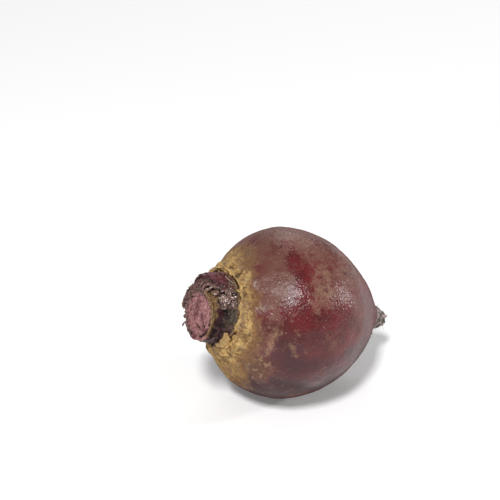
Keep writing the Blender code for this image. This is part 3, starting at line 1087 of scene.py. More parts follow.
def cork_colour(p, at, tone):
    """Tan cork with pale ridges, brown and greyish patches, dark crumbs and specks, and painted shade in its
    hollows and clefts.
    """
    tan = p.mix(p.window(at.mottle, 0.36, 0.66), tone.cork, tone.pale_cork)
    tan = p.mix(p.window(at.grain, 0.53, 0.66, 0.0, 0.7), tan, scaled(tone.brown, 0.75))
    tan = p.mix(p.window(at.fine, 0.44, 0.30, 0.0, 0.6), tan, scaled(tone.pale_cork, 1.25))
    tan = p.mix(p.window(p.noise(at.place, 5.0, 3.0, 0.6), 0.48, 0.66, 0.0, 0.75), tan, OLIVE_CORK)
    tan = p.mix(p.window(p.noise(at.place, 6.5, 3.0, 0.6), 0.46, 0.34, 0.0, 0.6), tan, GREYISH_CORK)
    dirt = p.vary(p.vary(at.stain, at.mottle, 1.6), at.fine, 1.2)
    tan = p.mix(p.window(dirt, 0.2, 1.1, 0.0, 0.9), tan, tone.brown)
    tan = p.mix(p.times(at.crumbs, p.window(at.grain, 0.44, 0.62, 0.0, 0.7)), tan, tone.dark_cork)
    spots = p.window(p.noise(at.place, 1.25, 2.5, 0.62), 0.545, 0.645)
    spots = p.times(spots, p.window(at.patches, 0.40, 0.62, 0.1, 0.75))
    tan = p.mix(spots, tan, scaled(tone.brown, 0.7))
    # Painted shade: the cork is darkened where it lies in a hollow
    tan = p.mix(p.window(at.hollow, 0.02, 0.14, 0.0, 0.6), tan, scaled(tone.brown, 0.9))
    tan = p.mix(p.window(at.hollow, 0.10, 0.30, 0.0, 0.9), tan, tone.dark_cork)
    tan = p.mix(p.window(at.hollow, -0.03, -0.14, 0.0, 0.5), tan, tone.pale_cork)
    tan = p.mix(p.window(at.fine, 0.56, 0.66, 0.0, 0.55), tan, scaled(tone.dark_cork, 2.2))
    # Painted shadow: the cork's clefts are darkened
    shadow = p.vary(at.cleft, at.grain, 2.0)
    tan = p.mix(p.window(shadow, 0.35, 1.15, 0.0, 0.9), tan, PAINTED_CLEFT_SHADOW)
    return p.mix(p.window(at.border, 1.05, 0.55, 0.0, 0.9), tan, CORK_BORDER)


def tip_colour(p, at, tone):
    """The dry grey tip of the tap root, with painted shade in its hollows, and paler on its crests: partly
    its own pale skin, partly a painted highlight.
    """
    tip = p.mix(p.window(at.mottle, 0.42, 0.58), tone.grey, scaled(tone.grey, 0.16))
    # Painted shade in the tip's hollows, and a partly painted highlight on its crests
    tip = p.mix(p.window(at.hollow, 0.02, 0.14, 0.0, 0.9), tip, tone.dark_cork)
    return p.mix(p.window(at.hollow, -0.03, -0.14, 0.0, 0.7), tip, scaled(tone.grey, 2.0))


def skin_roughness(p, at):
    """Rougher under dust, on cork, soil and the dry tip, and on the shaded underside."""
    rough = p.vary(p.window(at.film, 0.0, 0.9, 0.38, 0.48), at.grain, 0.3)
    for zone, more in ((at.corky, 0.35), (at.clean, -0.12), (at.caked, 0.2), (at.tail, 0.3)):
        rough = p.plus(rough, p.times(zone, more))
    rough = p.plus(rough, p.window(at.under, 0.3, 0.9, 0.0, 0.35))
    return p.plus(rough, p.window(at.glancing, 0.75, 0.97, 0.0, 0.3))


def skin_wax(p, at):
    """The skin's thin waxy gloss, which the cork and the dry tip lack, and dust, shade and stains dull."""
    wax = p.math("SUBTRACT", p.math("SUBTRACT", 1.0, at.corky), at.tail)
    for zone, low, high, clean_share, dull_share in (
        (at.film, 0.1, 1.0, 0.40, 0.16),
        (at.under, 0.2, 0.8, 1.0, 0.4),
        (at.stain, 0.2, 0.8, 1.0, 0.2),
        (p.part_of(at.place, "Z"), -8.0, -24.0, 1.0, 0.25),
        (at.glancing, 0.65, 0.90, 1.0, 0.0),
    ):
        wax = p.times(wax, p.window(zone, low, high, clean_share, dull_share))
    return p.math("MAXIMUM", wax, 0.0)


def skin_bumps(p, at):
    """Grain, fine pebbling, mottled relief and the crumbs of the cork."""
    normal = p.bump(p.times(at.grain, p.window(at.corky, 0.1, 0.9, 1.0, 5.0)), 0.09)
    pebbled = p.times(p.noise(at.place, 1.2, 1.5, 0.55), p.window(at.under, 0.0, 0.55, 1.0, 0.3))
    normal = p.bump(pebbled, 0.17, 1.0, normal)
    normal = p.bump(p.plus(at.mottle, p.times(at.specks, 0.3)), 0.13, 0.9, normal)
    return p.bump(p.times(at.crumbs, at.corky), -0.25, 0.7, normal)


def paint_skin(root):
    """Waxy purple-red skin with dust, dried soil, and knobbly tan cork round the crown."""
    tone = colours()
    p = Paint("beetroot_skin")
    at = skin_textures(p)
    stained = p.mix(0.5, tone.cork, tone.brown)
    colour = p.mix(p.window(at.border, 0.10, 0.55, 0.0, 0.75), skin_colour(p, at, tone), stained)
    colour = p.mix(at.corky, colour, cork_colour(p, at, tone))
    colour = p.mix(p.window(at.tail, 0.15, 0.8), colour, tip_colour(p, at, tone))
    normal = skin_bumps(p, at)
    p.put(p.shader.inputs["Coat Normal"], normal)
    p.finish(root, colour, skin_roughness(p, at), normal, SKIN_SPECULAR, skin_wax(p, at), SKIN_COAT_ROUGHNESS)


def on_stump(azimuth_deg, radius, rise):
    """The point of the leaning stump at this azimuth, distance from its middle and height above its foot."""
    lean = CROWN_OFFSET - NECK_LEAN * rise / sizes_now["neck_height"]
    middle = around_axis(OFF_AXIS_AZIMUTH, lean, 0.0)
    return middle + around_axis(azimuth_deg, radius, sizes_now["seat_height"] + FIT_GAP + rise)


def about_stump(p):
    """The azimuth in degrees of p, its distance from the stump's leaning middle, and its height."""
    rise = p.z - sizes_now["seat_height"] - FIT_GAP
    lean = CROWN_OFFSET - NECK_LEAN * rise / sizes_now["neck_height"]
    q = p - around_axis(OFF_AXIS_AZIMUTH, lean, 0.0)
    return math.degrees(math.atan2(q.y, q.x)), math.hypot(q.x, q.y), rise


def add_loft(bm, rings, first, last):
    """A closed form over rings of points, with a point at each end, added to the mesh."""
    loops = [[bm.verts.new(p) for p in ring] for ring in rings]
    start = bm.verts.new(first)
    end = bm.verts.new(last)
    faces = []
    for a, b in zip(loops, loops[1:]):
        for i in range(len(a)):
            faces.append(bm.faces.new((a[i - 1], a[i], b[i], b[i - 1])))
    for i in range(len(loops[0])):
        faces.append(bm.faces.new((start, loops[0][i], loops[0][i - 1])))
        faces.append(bm.faces.new((end, loops[-1][i - 1], loops[-1][i])))
    bmesh.ops.recalc_face_normals(bm, faces=faces)


def middle_of(ring):
    """The middle of a ring of points."""
    return sum(ring, Vector()) / len(ring)


def neck_outline():
    """The neck as (rise, radius): up its outside, over the rim and into the dished end."""
    foot = sizes_now["foot_radius"]
    top = sizes_now["neck_height"]
    return (
        (0.0, 0.6 * foot),
        (0.0, foot + 0.3),
        (1.0, foot + 0.9),
        (1.9, foot + 0.3),
        (3.2, foot - 1.6),
        (5.5, NECK_RADIUS + 0.3),
        (8.5, NECK_RADIUS - 0.4),
        (top - 0.5, NECK_RADIUS - 0.2),
        (top - 0.1, NECK_RADIUS - 0.9),
        (top - 1.1, NECK_RADIUS - 1.7),
        (top - 0.5, 0.72 * NECK_RADIUS),
        (top - 0.2, 0.3 * NECK_RADIUS),
    )


def add_neck(bm):
    """The crown's neck, wide at its foot and cut across, with an uneven rim round its dished end."""
    rings = []
    for rise, radius in neck_outline():
        ring = []
        for a in turn(NECK_SIDES):
            azimuth = math.degrees(a)
            uneven = layered(around_axis(azimuth, radius, rise), NECK_UNEVEN) * min(1.0, 0.2 + rise / 4.0)
            ring.append(on_stump(azimuth, radius + uneven, rise + 0.5 * uneven))
        rings.append(ring)
    top = sizes_now["neck_height"] - 0.1
    add_loft(bm, rings, on_stump(0.0, 0.0, 0.0), on_stump(0.0, 0.0, top))


def add_stalk(bm, azimuth, width, thickness, cut_height, outer_edge, slope):
    """The stub of one leaf stalk: a crescent beside the neck, torn off short, with a hollow end."""
    foot = sizes_now["foot_radius"]
    rings = []
    for share, size in STALK_OUTLINE:
        rise = STALK_SINK + share * (cut_height - STALK_SINK)
        narrowed = thickness * (1.0 - STALK_TAPER * share)
        middle_radius = foot + share * (outer_edge - foot) - 0.5 * narrowed
        ring = []
        for a in turn(STALK_SIDES):
            across = 0.5 * width * size * math.cos(a)
            out = 0.5 * narrowed * size * math.sin(a)
            beside = azimuth + math.degrees(across / middle_radius)
            coarse = noise.noise(around_axis(beside, 7.0, azimuth))
            finer = noise.noise(around_axis(beside, 19.0, azimuth))
            torn = share * (0.9 * coarse + 0.5 * finer)
            ring.append(on_stump(beside, middle_radius + out + 0.3 * torn, rise - share * slope * out + torn))
        rings.append(ring)
    add_loft(bm, rings, middle_of(rings[0]), middle_of(rings[-1]))


def add_pebble(bm, azimuth, radius, rise, half_sizes, twist=0.0):
    """A rounded, uneven lump. Its half sizes are around, outwards and up."""
    wide, deep, tall = half_sizes
    a = math.radians(azimuth + twist)
    around = Vector((-math.sin(a), math.cos(a), 0.0))
    outwards = Vector((math.cos(a), math.sin(a), 0.0))
    middle = on_stump(azimuth, radius, rise)
    rings = []
    for b in np.linspace(-LUMP_CAP, LUMP_CAP, LUMP_RINGS).tolist():
        ring = []
        for c in turn(LUMP_SIDES):
            direction = math.cos(b) * (math.cos(c) * around + math.sin(c) * outwards)
            stretch = 1.0 + 0.45 * noise.noise(direction * 1.9 + middle)
            p = around * direction.dot(around) * wide + outwards * direction.dot(outwards) * deep
            ring.append(middle + stretch * (p + Vector((0, 0, tall * math.sin(b)))))
        rings.append(ring)
    add_loft(bm, rings, middle - Vector((0, 0, tall)), middle + Vector((0, 0, tall)))


def add_strand(bm, path, widths, thickness, outwards, sides=8, cup=0.0):
    """A strand along the path, wider across than it is thick, and cupped where it is asked for."""
    points = [Vector(p) for p in path]
    rings = []
    for i, p in enumerate(points):
        ahead = (points[min(i + 1, len(points) - 1)] - points[max(i - 1, 0)]).normalized()
        across = ahead.cross(outwards).normalized()
        out = across.cross(ahead)
        thick = thickness * widths[i] / max(widths)
        ring = []
        for a in turn(sides):
            beside = 0.5 * widths[i] * math.cos(a)
            sag = cup * widths[i] * math.cos(a) ** 2
            ring.append(p + across * beside + out * (0.5 * thick * math.sin(a) - sag))
        rings.append(ring)
    add_loft(bm, rings, middle_of(rings[0]), middle_of(rings[-1]))


def add_rim(bm, draw):
    """The torn, knobbly rim along the side of the cut end."""
    for first, last, below, width in RIM_STRETCHES:
        rise = sizes_now["neck_height"] - below
        path, widths = [], []
        for share in np.linspace(0.0, 1.0, RIM_POINTS).tolist():
            azimuth = first + share * (last - first)
            out = noise.noise(Vector((azimuth / 9.0, rise, 0.0)))
            up = noise.noise(Vector((azimuth / 6.0, 7.0, 0.0)))
            path.append(on_stump(azimuth, NECK_RADIUS - 0.35 + 0.5 * out, rise + 0.7 * up))
            widths.append(width * (0.45 + 0.55 * math.sin(math.pi * share)) * draw.uniform(0.7, 1.25))
        add_strand(bm, path, widths, RIM_THICKNESS, Vector((0, 0, 1)))


def add_strands(bm, draw):
    """Torn strands that lie over the gap between the leaf stalks and the cut end."""
    top = sizes_now["neck_height"]
    for i in range(STRAND_COUNT):
        azimuth = -12 + 6.2 * i + draw.uniform(-3, 3)
        if azimuth > 120 and i % 2:
            continue
        inner = draw.uniform(7.8, 9.6)
        drift = draw.uniform(4, 16) * (1 if azimuth < 38 else -1)
        start_radius = draw.uniform(12.6, 14.6)
        start_rise = draw.uniform(9.0, 11.0)
        path = []
        for share in (0.0, 0.25, 0.5, 0.75, 1.0):
            radius = start_radius + share * (inner - start_radius)
            arch = 0.7 * math.sin(math.pi * share) * draw.uniform(0.3, 1.0)
            rise = start_rise + share * (top - 0.2 - start_rise) + arch
            path.append(on_stump(azimuth + share * drift, radius, min(rise, top + 0.7)))
        width = draw.uniform(0.7, 1.3)
        widths = [width * share for share in (0.6, 1.0, 1.0, 0.8, 0.4)]
        add_strand(bm, path, widths, STRAND_THICKNESS, Vector((0, 0, 1)))


def add_folds(bm, draw):
    """Ribs and folds that run up the outside of the leaf stalks."""
    for azimuth in FOLDS:
        reach = draw.uniform(5.0, 8.5)
        lean = draw.uniform(-7, 7)
        path, widths = [], []
        for share in (0.0, 0.2, 0.45, 0.7, 0.9, 1.0):
            rise = 0.6 + share * reach
            path.append(on_stump(azimuth + lean * share, stalk_radius(azimuth, rise) - 0.1, rise))
            widths.append(draw.uniform(0.9, 1.6) * (1.1 - 0.6 * share))
        add_strand(bm, path, widths, FOLD_THICKNESS, around_axis(azimuth, 1.0, 0.0))


def add_bracts(bm, draw):
    """Withered leaf bases round the stump's foot, which lean out over the collar."""
    for i in range(BRACT_COUNT):
        azimuth = 360 / BRACT_COUNT * i + draw.uniform(-4, 4)
        turned = draw.uniform(-8, 8)
        reach = draw.uniform(1.4, 3.4)
        outwards = draw.uniform(0.2, 1.2)
        path, widths = [], []
        for share in (0.0, 0.25, 0.5, 0.75, 1.0):
            radius = BRACT_RADIUS + 0.4 * share + outwards * share**2
            path.append(on_stump(azimuth + turned * share, radius, 0.4 + reach * share))
            widths.append(draw.uniform(2.0, 3.6) * (1.0 - 0.75 * share**2))
        add_strand(bm, path, widths, BRACT_THICKNESS, around_axis(azimuth, 1.0, 0.0), sides=10, cup=0.1)


def stalk_radius(azimuth_deg, rise):
    """How far out the leaf stalks reach at this azimuth and height."""
    foot = sizes_now["foot_radius"]
    neck = NECK_RADIUS + 0.3
    reach = neck if rise > 5.5 else foot - (foot - neck) * clamped((rise - 1.3) / 4.2)
    for azimuth, width, thickness, cut_height, outer_edge, _ in STALKS:
        beside = math.radians(abs((azimuth_deg - azimuth + 180.0) % 360.0 - 180.0)) * outer_edge
        if rise < cut_height and beside < 0.5 * width:
            edge = foot + rise / cut_height * (outer_edge - foot)
            rounding = 1 - math.sqrt(1 - (beside / (0.5 * width)) ** 2)
            reach = max(reach, edge - 0.5 * thickness * rounding)
    return reach


def add_lumps(bm, draw):
    """Dry lumps on the outside of the leaf stalks, and a bud."""
    for i in range(SEEN_LUMPS):
        azimuth = 4 - 2.15 * i + draw.uniform(-2, 2)
        rise = draw.uniform(2.0, 7.6) + (1.2 if i < 12 else 0.0)
        half = (draw.uniform(0.8, 1.7), draw.uniform(0.7, 1.1), draw.uniform(0.7, 1.5))
        out = stalk_radius(azimuth, rise) + draw.uniform(-0.5, 0.4)
        add_pebble(bm, azimuth, out, rise, half, draw.uniform(-50, 50))
    for bud in BUDS:
        add_pebble(bm, *bud)
    for i in range(HIDDEN_LUMPS):
        azimuth = 100 + 13.0 * i + draw.uniform(-4, 4)
        rise = draw.uniform(1.5, 5.5)
        half = (draw.uniform(0.8, 1.6), draw.uniform(0.6, 1.0), draw.uniform(0.8, 1.8))
        add_pebble(bm, azimuth, stalk_radius(azimuth, rise) - 0.2, rise, half, draw.uniform(-40, 40))


def stump_mesh():
    """The cut stalks, fused into one surface."""
    bm = bmesh.new()
    draw = random.Random(4)
    add_neck(bm)
    for stalk in STALKS:
        add_stalk(bm, *stalk)
    for add in (add_rim, add_strands, add_folds, add_bracts, add_lumps):
        add(bm, draw)
    rough_form = object_from("cut_stalks_form", bm)
    remesh = rough_form.modifiers.new("Fuse", "REMESH")
    remesh.mode = "VOXEL"
    remesh.voxel_size = STUMP_VOXEL
    remesh.use_smooth_shade = True
    soften = rough_form.modifiers.new("Soften", "SMOOTH")
    soften.factor = 0.5
    soften.iterations = 1
    bpy.context.view_layer.update()
    graph = bpy.context.evaluated_depsgraph_get()
    mesh = bpy.data.meshes.new_from_object(rough_form.evaluated_get(graph))
    bpy.data.objects.remove(rough_form)
    mesh.name = "cut_stalks"
    return mesh


def between(azimuth_deg, first, last, fade):
    """1 between the two azimuths, fading to 0 outside them."""
    middle = 0.5 * (first + last)
    beside = abs((azimuth_deg - middle + 180.0) % 360.0 - 180.0)
    return clamped(1.0 - (beside - 0.5 * abs(last - first)) / fade)


# What is stored for each point of the stump: fresh cut, ochre rim, torn strands, dark skin, dry lumps,
# green bud, dry foot, and dark gaps in the cut end, whose darkness is partly painted shade
STUMP_ZONES = ("fresh", "rim", "strands", "dark", "lumps", "bud", "foot", "groove")


def cut_end_zones(p, ragged):
    """Shares of fresh cut, ochre rim and dark gap at the point p of the stump."""
    azimuth, radius, rise = about_stump(p)
    below = sizes_now["neck_height"] - rise
    on_end = clamped((CUT_DEPTH - below) / 0.6)
    reach = CUT_RADIUS + CUT_WIDENING * between(azimuth, *CUT_WIDE_SIDE)
    fresh = clamped((reach - radius + ragged) / 0.7) * on_end
    inner, outer = RIM_RADII
    lowest = RIM_LOWEST - RIM_LOWER * between(azimuth, *RIM_LOW_SIDE)
    rim = clamped((radius - inner + 0.8 * ragged) / 0.5) * clamped((outer - radius) / 0.6)
    rim *= clamped(rise - lowest + 2.4 * ragged) * between(azimuth, *RIM_SIDE)
    groove = bell(radius - CUT_RADIUS - 0.4 * ragged, GAP_WIDTH) * on_end * between(azimuth, *GAP_SIDE)
    for at_azimuth, at_radius, cleft_reach, _ in CUT_CLEFTS:
        gap = (p - on_stump(at_azimuth, at_radius, rise)).length
        groove = max(groove, bell(gap, cleft_reach) * clamped(CUT_DEPTH + 1.0 - below))
    return fresh, rim, groove


def stump_zones(p, normal):
    """The share of each of the stump's zones at p."""
    azimuth, radius, rise = about_stump(p)
    ragged = layered(p, STUMP_RAGGED)
    upward = clamped((normal.z - 0.2) / 0.35)
    fresh, rim, groove = cut_end_zones(p, ragged)
    strands = clamped((rise - 7.5 + ragged) / 1.5) * clamped(radius - 8.6)
    strands *= clamped((15.0 + ragged - radius) / 0.8) * between(azimuth, *STRAND_SIDE)
    lumps = between(azimuth, *LUMPY_SIDE) * clamped((rise - 1.6 + ragged) / 0.8)
    lumps *= clamped((radius - 11.3) / 0.8)
    lumps *= max(clamped((15.0 - radius + ragged) / 0.7), between(azimuth, *LUMPY_OUTSIDE))
    bud = bell(azimuth - BUD_AT[0], BUD_SPREAD[0]) * bell(rise - BUD_AT[1], BUD_SPREAD[1])
    bud = clamped(1.4 * bud * clamped(radius - 11.6))
    outside = clamped((radius - 14.2 + 0.5 * ragged) / 0.8) * between(azimuth, *DARK_SIDE)
    dark = max(clamped(1.1 - 0.9 * upward + 0.4 * ragged), outside)
    foot = clamped((2.6 + 2.0 * ragged - rise) / 1.2) * clamped((radius - 14.0 + ragged) / 0.8)
    return fresh, rim, strands, dark, lumps, bud, foot, groove


def stump_push(p, normal):
    """How far the fibres, folds and clefts move the stump's surface out at p."""
    azimuth, radius, rise = about_stump(p)
    around = Vector((p.x, p.y, 0.0)).normalized()
    upward = clamped((normal.z - 0.3) / 0.4)
    strands = noise.noise(around * 14.0 + Vector((0, 0, rise / 5.0))) + 0.5 * noise.noise(around * 30.0)
    ends = layered(p, TORN_ENDS)
    torn = noise.noise(p / 2.6)
    folds = 1.0 - 2.0 * abs(noise.noise(p / 2.1)) - abs(noise.noise(p / 1.1))
    relief = mm(sizes().fibre_relief)
    push = relief * ((1 - upward) * (0.8 * strands + 0.4 * ends) + upward * (0.9 * ends + 1.1 * torn))
    crumpled = between(azimuth, *CRUMPLED_SIDE) * clamped(radius - 11.0)
    crumpled = max(crumpled, 0.5 * between(azimuth, *CREASED_SIDE) * clamped(radius - 10.5))
    push += FOLD_HEIGHT * crumpled * (folds - 0.4)
    hollow = between(azimuth, *HOLLOW_SIDE) * clamped((rise - 3.6) / 1.5) * clamped(10.2 - rise)
    push -= HOLLOW_DEPTH * hollow * clamped((radius - 10.0) / 0.8)
    if rise > sizes_now["neck_height"] - 2.5 and radius < 10.5:
        for at_azimuth, at_radius, reach, depth in CUT_CLEFTS:
            gap = (p - on_stump(at_azimuth, at_radius, rise)).length
            push -= depth * bell(gap, reach)
        groove = between(azimuth, *GAP_SHAPE_SIDE) * bell(radius - GAP_SHAPE_RADIUS - 0.4 * torn, GAP_WIDTH)
        push -= GAP_DEPTH * groove
        q = Matrix.Rotation(CUT_GRAIN_TURN, 3, "Z") @ p
        grained = Vector((q.x / 4.5, q.y / 0.9, 3.0))
        push += 0.28 * noise.noise(grained) + 0.18 * noise.noise(2.1 * grained)
    return push * clamped(rise - 0.2)


def shape_stump(mesh):
    """Moves the surface out and in by its fibres and clefts, less at sharp edges, and stores its zones."""
    sharpness = np.abs(hollowness(mesh, rounds=3)).tolist()
    zones, places, moved = [], [], []
    for v, sharp in zip(mesh.vertices, sharpness):
        p, n = v.co.copy(), v.normal.copy()
        zones.append(stump_zones(p, n))
        places.append(tuple(p))
        moved.append(p + n * (stump_push(p, n) * clamped(1.3 - sharp / 0.2)))
    for v, p in zip(mesh.vertices, moved):
        v.co = p
    mesh.update()
    set_place(mesh, places)
    for name, values in zip(STUMP_ZONES, zip(*zones)):
        set_attribute(mesh, name, values)
    # The stump's material paints shade into the hollows found here, and glints on the lumps' crests
    set_attribute(mesh, "hollow", hollowness(mesh, rounds=10))
    mesh.transform(laid_down())
    mesh.shade_smooth()


def cut_colour(p, at, tone):
    """Pink cut ends, with pale fibres, darker bundles and wine-red patches."""
    cut = p.mix(p.window(at.grain, 0.34, 0.68), tone.flesh, tone.pale_flesh)
    cut = p.mix(p.window(at.bundles, 0.52, 0.70, 0.0, 0.6), cut, scaled(tone.flesh, 0.45))
    cut = p.mix(p.window(at.bundles, 0.44, 0.30, 0.0, 0.65), cut, tone.pale_flesh)
    cut = p.mix(p.window(at.mottle, 0.46, 0.68, 0.0, 0.8), cut, scaled(tone.flesh, 0.40))
    return p.mix(p.window(p.noise(at.place, 4.2, 3.0, 0.6), 0.47, 0.62, 0.0, 0.8), cut, WINE_FLESH)


def stalk_colour(p, at, tone):
    """Dark skin on the outside of the stalks, rosy where it ends up on top, and dry brown elsewhere."""
    dry = p.mix(p.window(at.mottle, 0.35, 0.65), tone.dry_stalk, scaled(tone.dry_stalk, 0.3))
    skin = p.mix(p.window(at.fibres, 0.52, 0.75, 0.0, 0.35), tone.stalk_skin, tone.dry_stalk)
    skin = p.mix(p.window(at.mottle, 0.45, 0.70, 0.0, 0.5), skin, RED_STALK)
    on_top = p.window(p.part_of(at.place, "X"), 11.0, 15.5)
    skin = p.mix(p.times(on_top, p.window(at.mottle, 0.34, 0.56, 0.1, 0.9)), skin, ROSY_STALK)
    return p.mix(at.dark, dry, skin)


def paint_stump(stump):
    """Pink cut ends with pale fibres, an ochre rim, glossy dark stalk skin, dry grey lumps with painted
    glints, and painted shade in the hollows and, in part, in the gaps.
    """
    tone = colours()
    p = Paint("cut_leaf_stalks")
    at = SimpleNamespace(**{name: p.zone(name) for name in (*STUMP_ZONES, "hollow")})
    at.place = p.place()
    at.mottle = p.noise(at.place, 2.0, 5.0, 0.65)
    at.grain = p.noise(at.place, 0.55, 4.0, 0.72)
    at.fibres = p.noise(p.stretched(at.place, (1.0, 1.0, 0.2)), 0.8, 4.0, 0.65)
    at.bundles = p.noise(p.stretched(at.place, (0.45, 1.0, 1.0)), 0.9, 3.0, 0.7, 0.6)

    torn = p.mix(p.window(at.grain, 0.36, 0.66), *TORN_FIBRE)
    torn = p.mix(p.window(at.mottle, 0.40, 0.62, 0.0, 0.75), torn, DRY_FIBRE)
    knob = p.mix(p.window(at.mottle, 0.42, 0.66), *DRY_LUMP)
    knob = p.mix(p.window(at.mottle, 0.50, 0.40, 0.0, 0.65), knob, OLIVE_LUMP)
    ochre = p.mix(p.window(at.grain, 0.38, 0.66), *OCHRE)
    ochre = p.mix(p.window(at.mottle, 0.50, 0.66, 0.0, 0.75), ochre, OCHRE_PIT)
    withered = p.mix(p.window(at.mottle, 0.38, 0.60), *WITHERED)
    colour = stalk_colour(p, at, tone)
    for share, covering in (
        (p.times(at.strands, 0.9), torn),
        (p.times(at.lumps, 0.9), knob),
        (p.times(at.rim, p.window(at.mottle, 0.30, 0.50, 0.45, 0.95)), ochre),
        (at.fresh, cut_colour(p, at, tone)),
        # Partly painted shade: the gaps and clefts in the cut end are darkened
        (p.times(at.groove, p.window(at.mottle, 0.35, 0.55, 0.5, 1.0)), GAP_RED_AND_PAINTED_SHADE),
        (p.times(at.bud, 0.85), GREEN_BUD),
        (p.times(at.foot, p.window(at.grain, 0.30, 0.60, 0.5, 0.95)), withered),
        # Painted shade: near black in the stump's hollows
        (p.window(at.hollow, 0.02, 0.20, 0.0, 0.95), PAINTED_HOLLOW_SHADE),
    ):
        colour = p.mix(share, colour, covering)
    crest = p.times(p.window(at.hollow, -0.04, -0.20, 0.0, 0.6), p.window(at.dark, 0.2, 0.9, 1.0, 0.25))
    colour = p.mix(p.times(crest, p.window(at.grain, 0.35, 0.6)), colour, PALE_CREST)
    # Painted highlight: pale glints on the crests of the lumps
    colour = p.mix(p.times(at.lumps, p.window(at.hollow, -0.10, -0.22, 0.0, 0.65)), colour, PAINTED_LUMP_GLINT)

    rough = p.vary(p.window(at.dark, 0.0, 1.0, 0.72, 0.42), at.grain, 0.35)
    rough = p.plus(rough, p.times(at.lumps, -0.12))
    coat = p.times(at.lumps, p.window(at.mottle, 0.36, 0.55, 0.2, 1.0))
    normal = p.bump(p.plus(at.fibres, p.times(at.grain, 0.6)), 0.28, 0.9)
    normal = p.bump(at.mottle, 0.35, 0.7, normal)
    p.finish(stump, colour, rough, normal, DRY_SPECULAR, coat, LUMP_COAT_ROUGHNESS)


def flake_path(azimuth, turned, radius, rise, reach, outwards):
    """The middle line of a flake that is rooted in the collar and turns by some degrees as it rises."""
    path = []
    for share in np.linspace(0.0, 1.0, FLAKE_POINTS).tolist():
        out = radius + outwards * share**1.6
        path.append(on_stump(azimuth + share * turned, out, rise + reach * (share - 0.25 * share**2)))
    return path


def flake_mesh():
    """Dry remains of leaf bases, as thin ragged flakes rooted in the collar."""
    bm = bmesh.new()
    draw = random.Random(11)
    longest = mm(sizes().flake_length)
    flakes = list(SEEN_FLAKES)
    for i in range(HIDDEN_FLAKES):
        azimuth = 36 + 12.2 * i + draw.uniform(-4, 4)
        turned, radius, reach = draw.uniform(-16, 16), draw.uniform(15.9, 16.8), draw.uniform(0.4, 1.0)
        outwards, width = draw.uniform(-0.4, 1.0), draw.uniform(1.5, 3.2)
        flakes.append((azimuth, turned, radius, reach, outwards, width))
    for azimuth, turned, radius, reach, outwards, width in flakes:
        path = flake_path(azimuth, turned, radius, -FLAKE_SINK, reach * longest, outwards)
        widths = []
        for share in np.linspace(0.0, 1.0, FLAKE_POINTS).tolist():
            widths.append(width * (1.0 - 0.85 * share**1.3) * draw.uniform(0.75, 1.15))
        facing = around_axis(azimuth, 1.0, 0.0)
        add_strand(bm, path, widths, FLAKE_THICKNESS, facing, sides=14, cup=FLAKE_CUP)
    flakes_piece = object_from("collar_flakes", bm)
    mesh = flakes_piece.data
    places = []
    for v in mesh.vertices:
        places.append(tuple(v.co))
        v.co += v.normal * layered(v.co, FLAKE_UNEVEN)
    set_place(mesh, places)
    set_attribute(mesh, "tip", [clamped((about_stump(Vector(p))[2] - 0.8) / 3.0) for p in places])
    mesh.transform(laid_down())
    return flakes_piece


def paint_flakes(flakes):
    """Dry tan flakes that darken towards their tips."""
    tone = colours()
    p = Paint("collar_flakes")
    place = p.place()
    mottle = p.noise(place, 1.8, 4.0, 0.65)
    grain = p.noise(place, 0.6, 4.0, 0.7)
    colour = p.mix(p.window(mottle, 0.35, 0.65), tone.cork, scaled(tone.pale_cork, 1.2))
    colour = p.mix(p.window(grain, 0.5, 0.72, 0.0, 0.8), colour, tone.dark_cork)
    darker = p.vary(p.zone("tip"), mottle, 1.2)
    colour = p.mix(p.window(darker, 0.6, 1.4, 0.0, 0.7), colour, FLAKE_TIP)
    rough = p.window(grain, 0.3, 0.7, 0.6, 0.85)
    normal = p.bump(p.plus(grain, mottle), 0.2, 0.9)
    p.finish(flakes, colour, rough, normal, DRY_SPECULAR)


def thread(bm, start, ahead, reach, radius, curl, draw):
    """One thin fibre from the start point, wandering as it goes."""
    along = Vector(ahead).normalized()
    side = along.orthogonal().normalized()
    other = along.cross(side)
    a, b = draw.uniform(-1, 1), draw.uniform(-1, 1)
    twist = draw.uniform(0, 6.28)
    path, widths = [], []
    for share in np.linspace(0.0, 1.0, THREAD_POINTS).tolist():
        wander = curl * reach * share**1.7
        wave = 0.12 * reach * math.sin(5.0 * share + twist) * share
        path.append(start + along * (reach * share) + side * (a * wander + wave) + other * (b * wander))
        widths.append(2 * radius * (1.0 - 0.7 * share))
    add_strand(bm, path, widths, 2 * radius, side + 0.3 * other, THREAD_SIDES)


def tail_point(height, azimuth, sink=0.25):
    """A point a little under the skin of the tap root, and the outward direction there."""
    heights, radii = zip(*sorted(root_stations()))
    radius = float(np.interp(height, heights, radii)) - sink
    return around_axis(azimuth, radius, height) + off_axis(height), around_axis(azimuth, 1.0, 0.0)


def add_root_hairs(bm, draw):
    """Fine hairs along the tap root, and torn fibres at its tip."""
    longest = mm(sizes().hair_length)
    tip = -sizes_now["tail_length"]
    for _ in range(ROOT_HAIRS):
        height = tip + 0.6 + 15.0 * draw.random() ** 1.6
        azimuth = draw.uniform(-180, 180)
        start, out = tail_point(height, azimuth)
        ahead = out + Vector((0, 0, draw.uniform(-0.9, 0.3)))
        thread(bm, start, ahead, longest * draw.uniform(0.12, 0.45), draw.uniform(0.06, 0.13), 0.7, draw)
    for i in range(TIP_FIBRES):
        start, out = tail_point(tip + draw.uniform(0.5, 1.6), 40 * i + draw.uniform(-15, 15), 0.4)
        ahead = 0.5 * out + Vector((0, 0, -0.5))
        thread(bm, start, ahead, draw.uniform(0.8, 1.6), draw.uniform(0.10, 0.2), 0.5, draw)


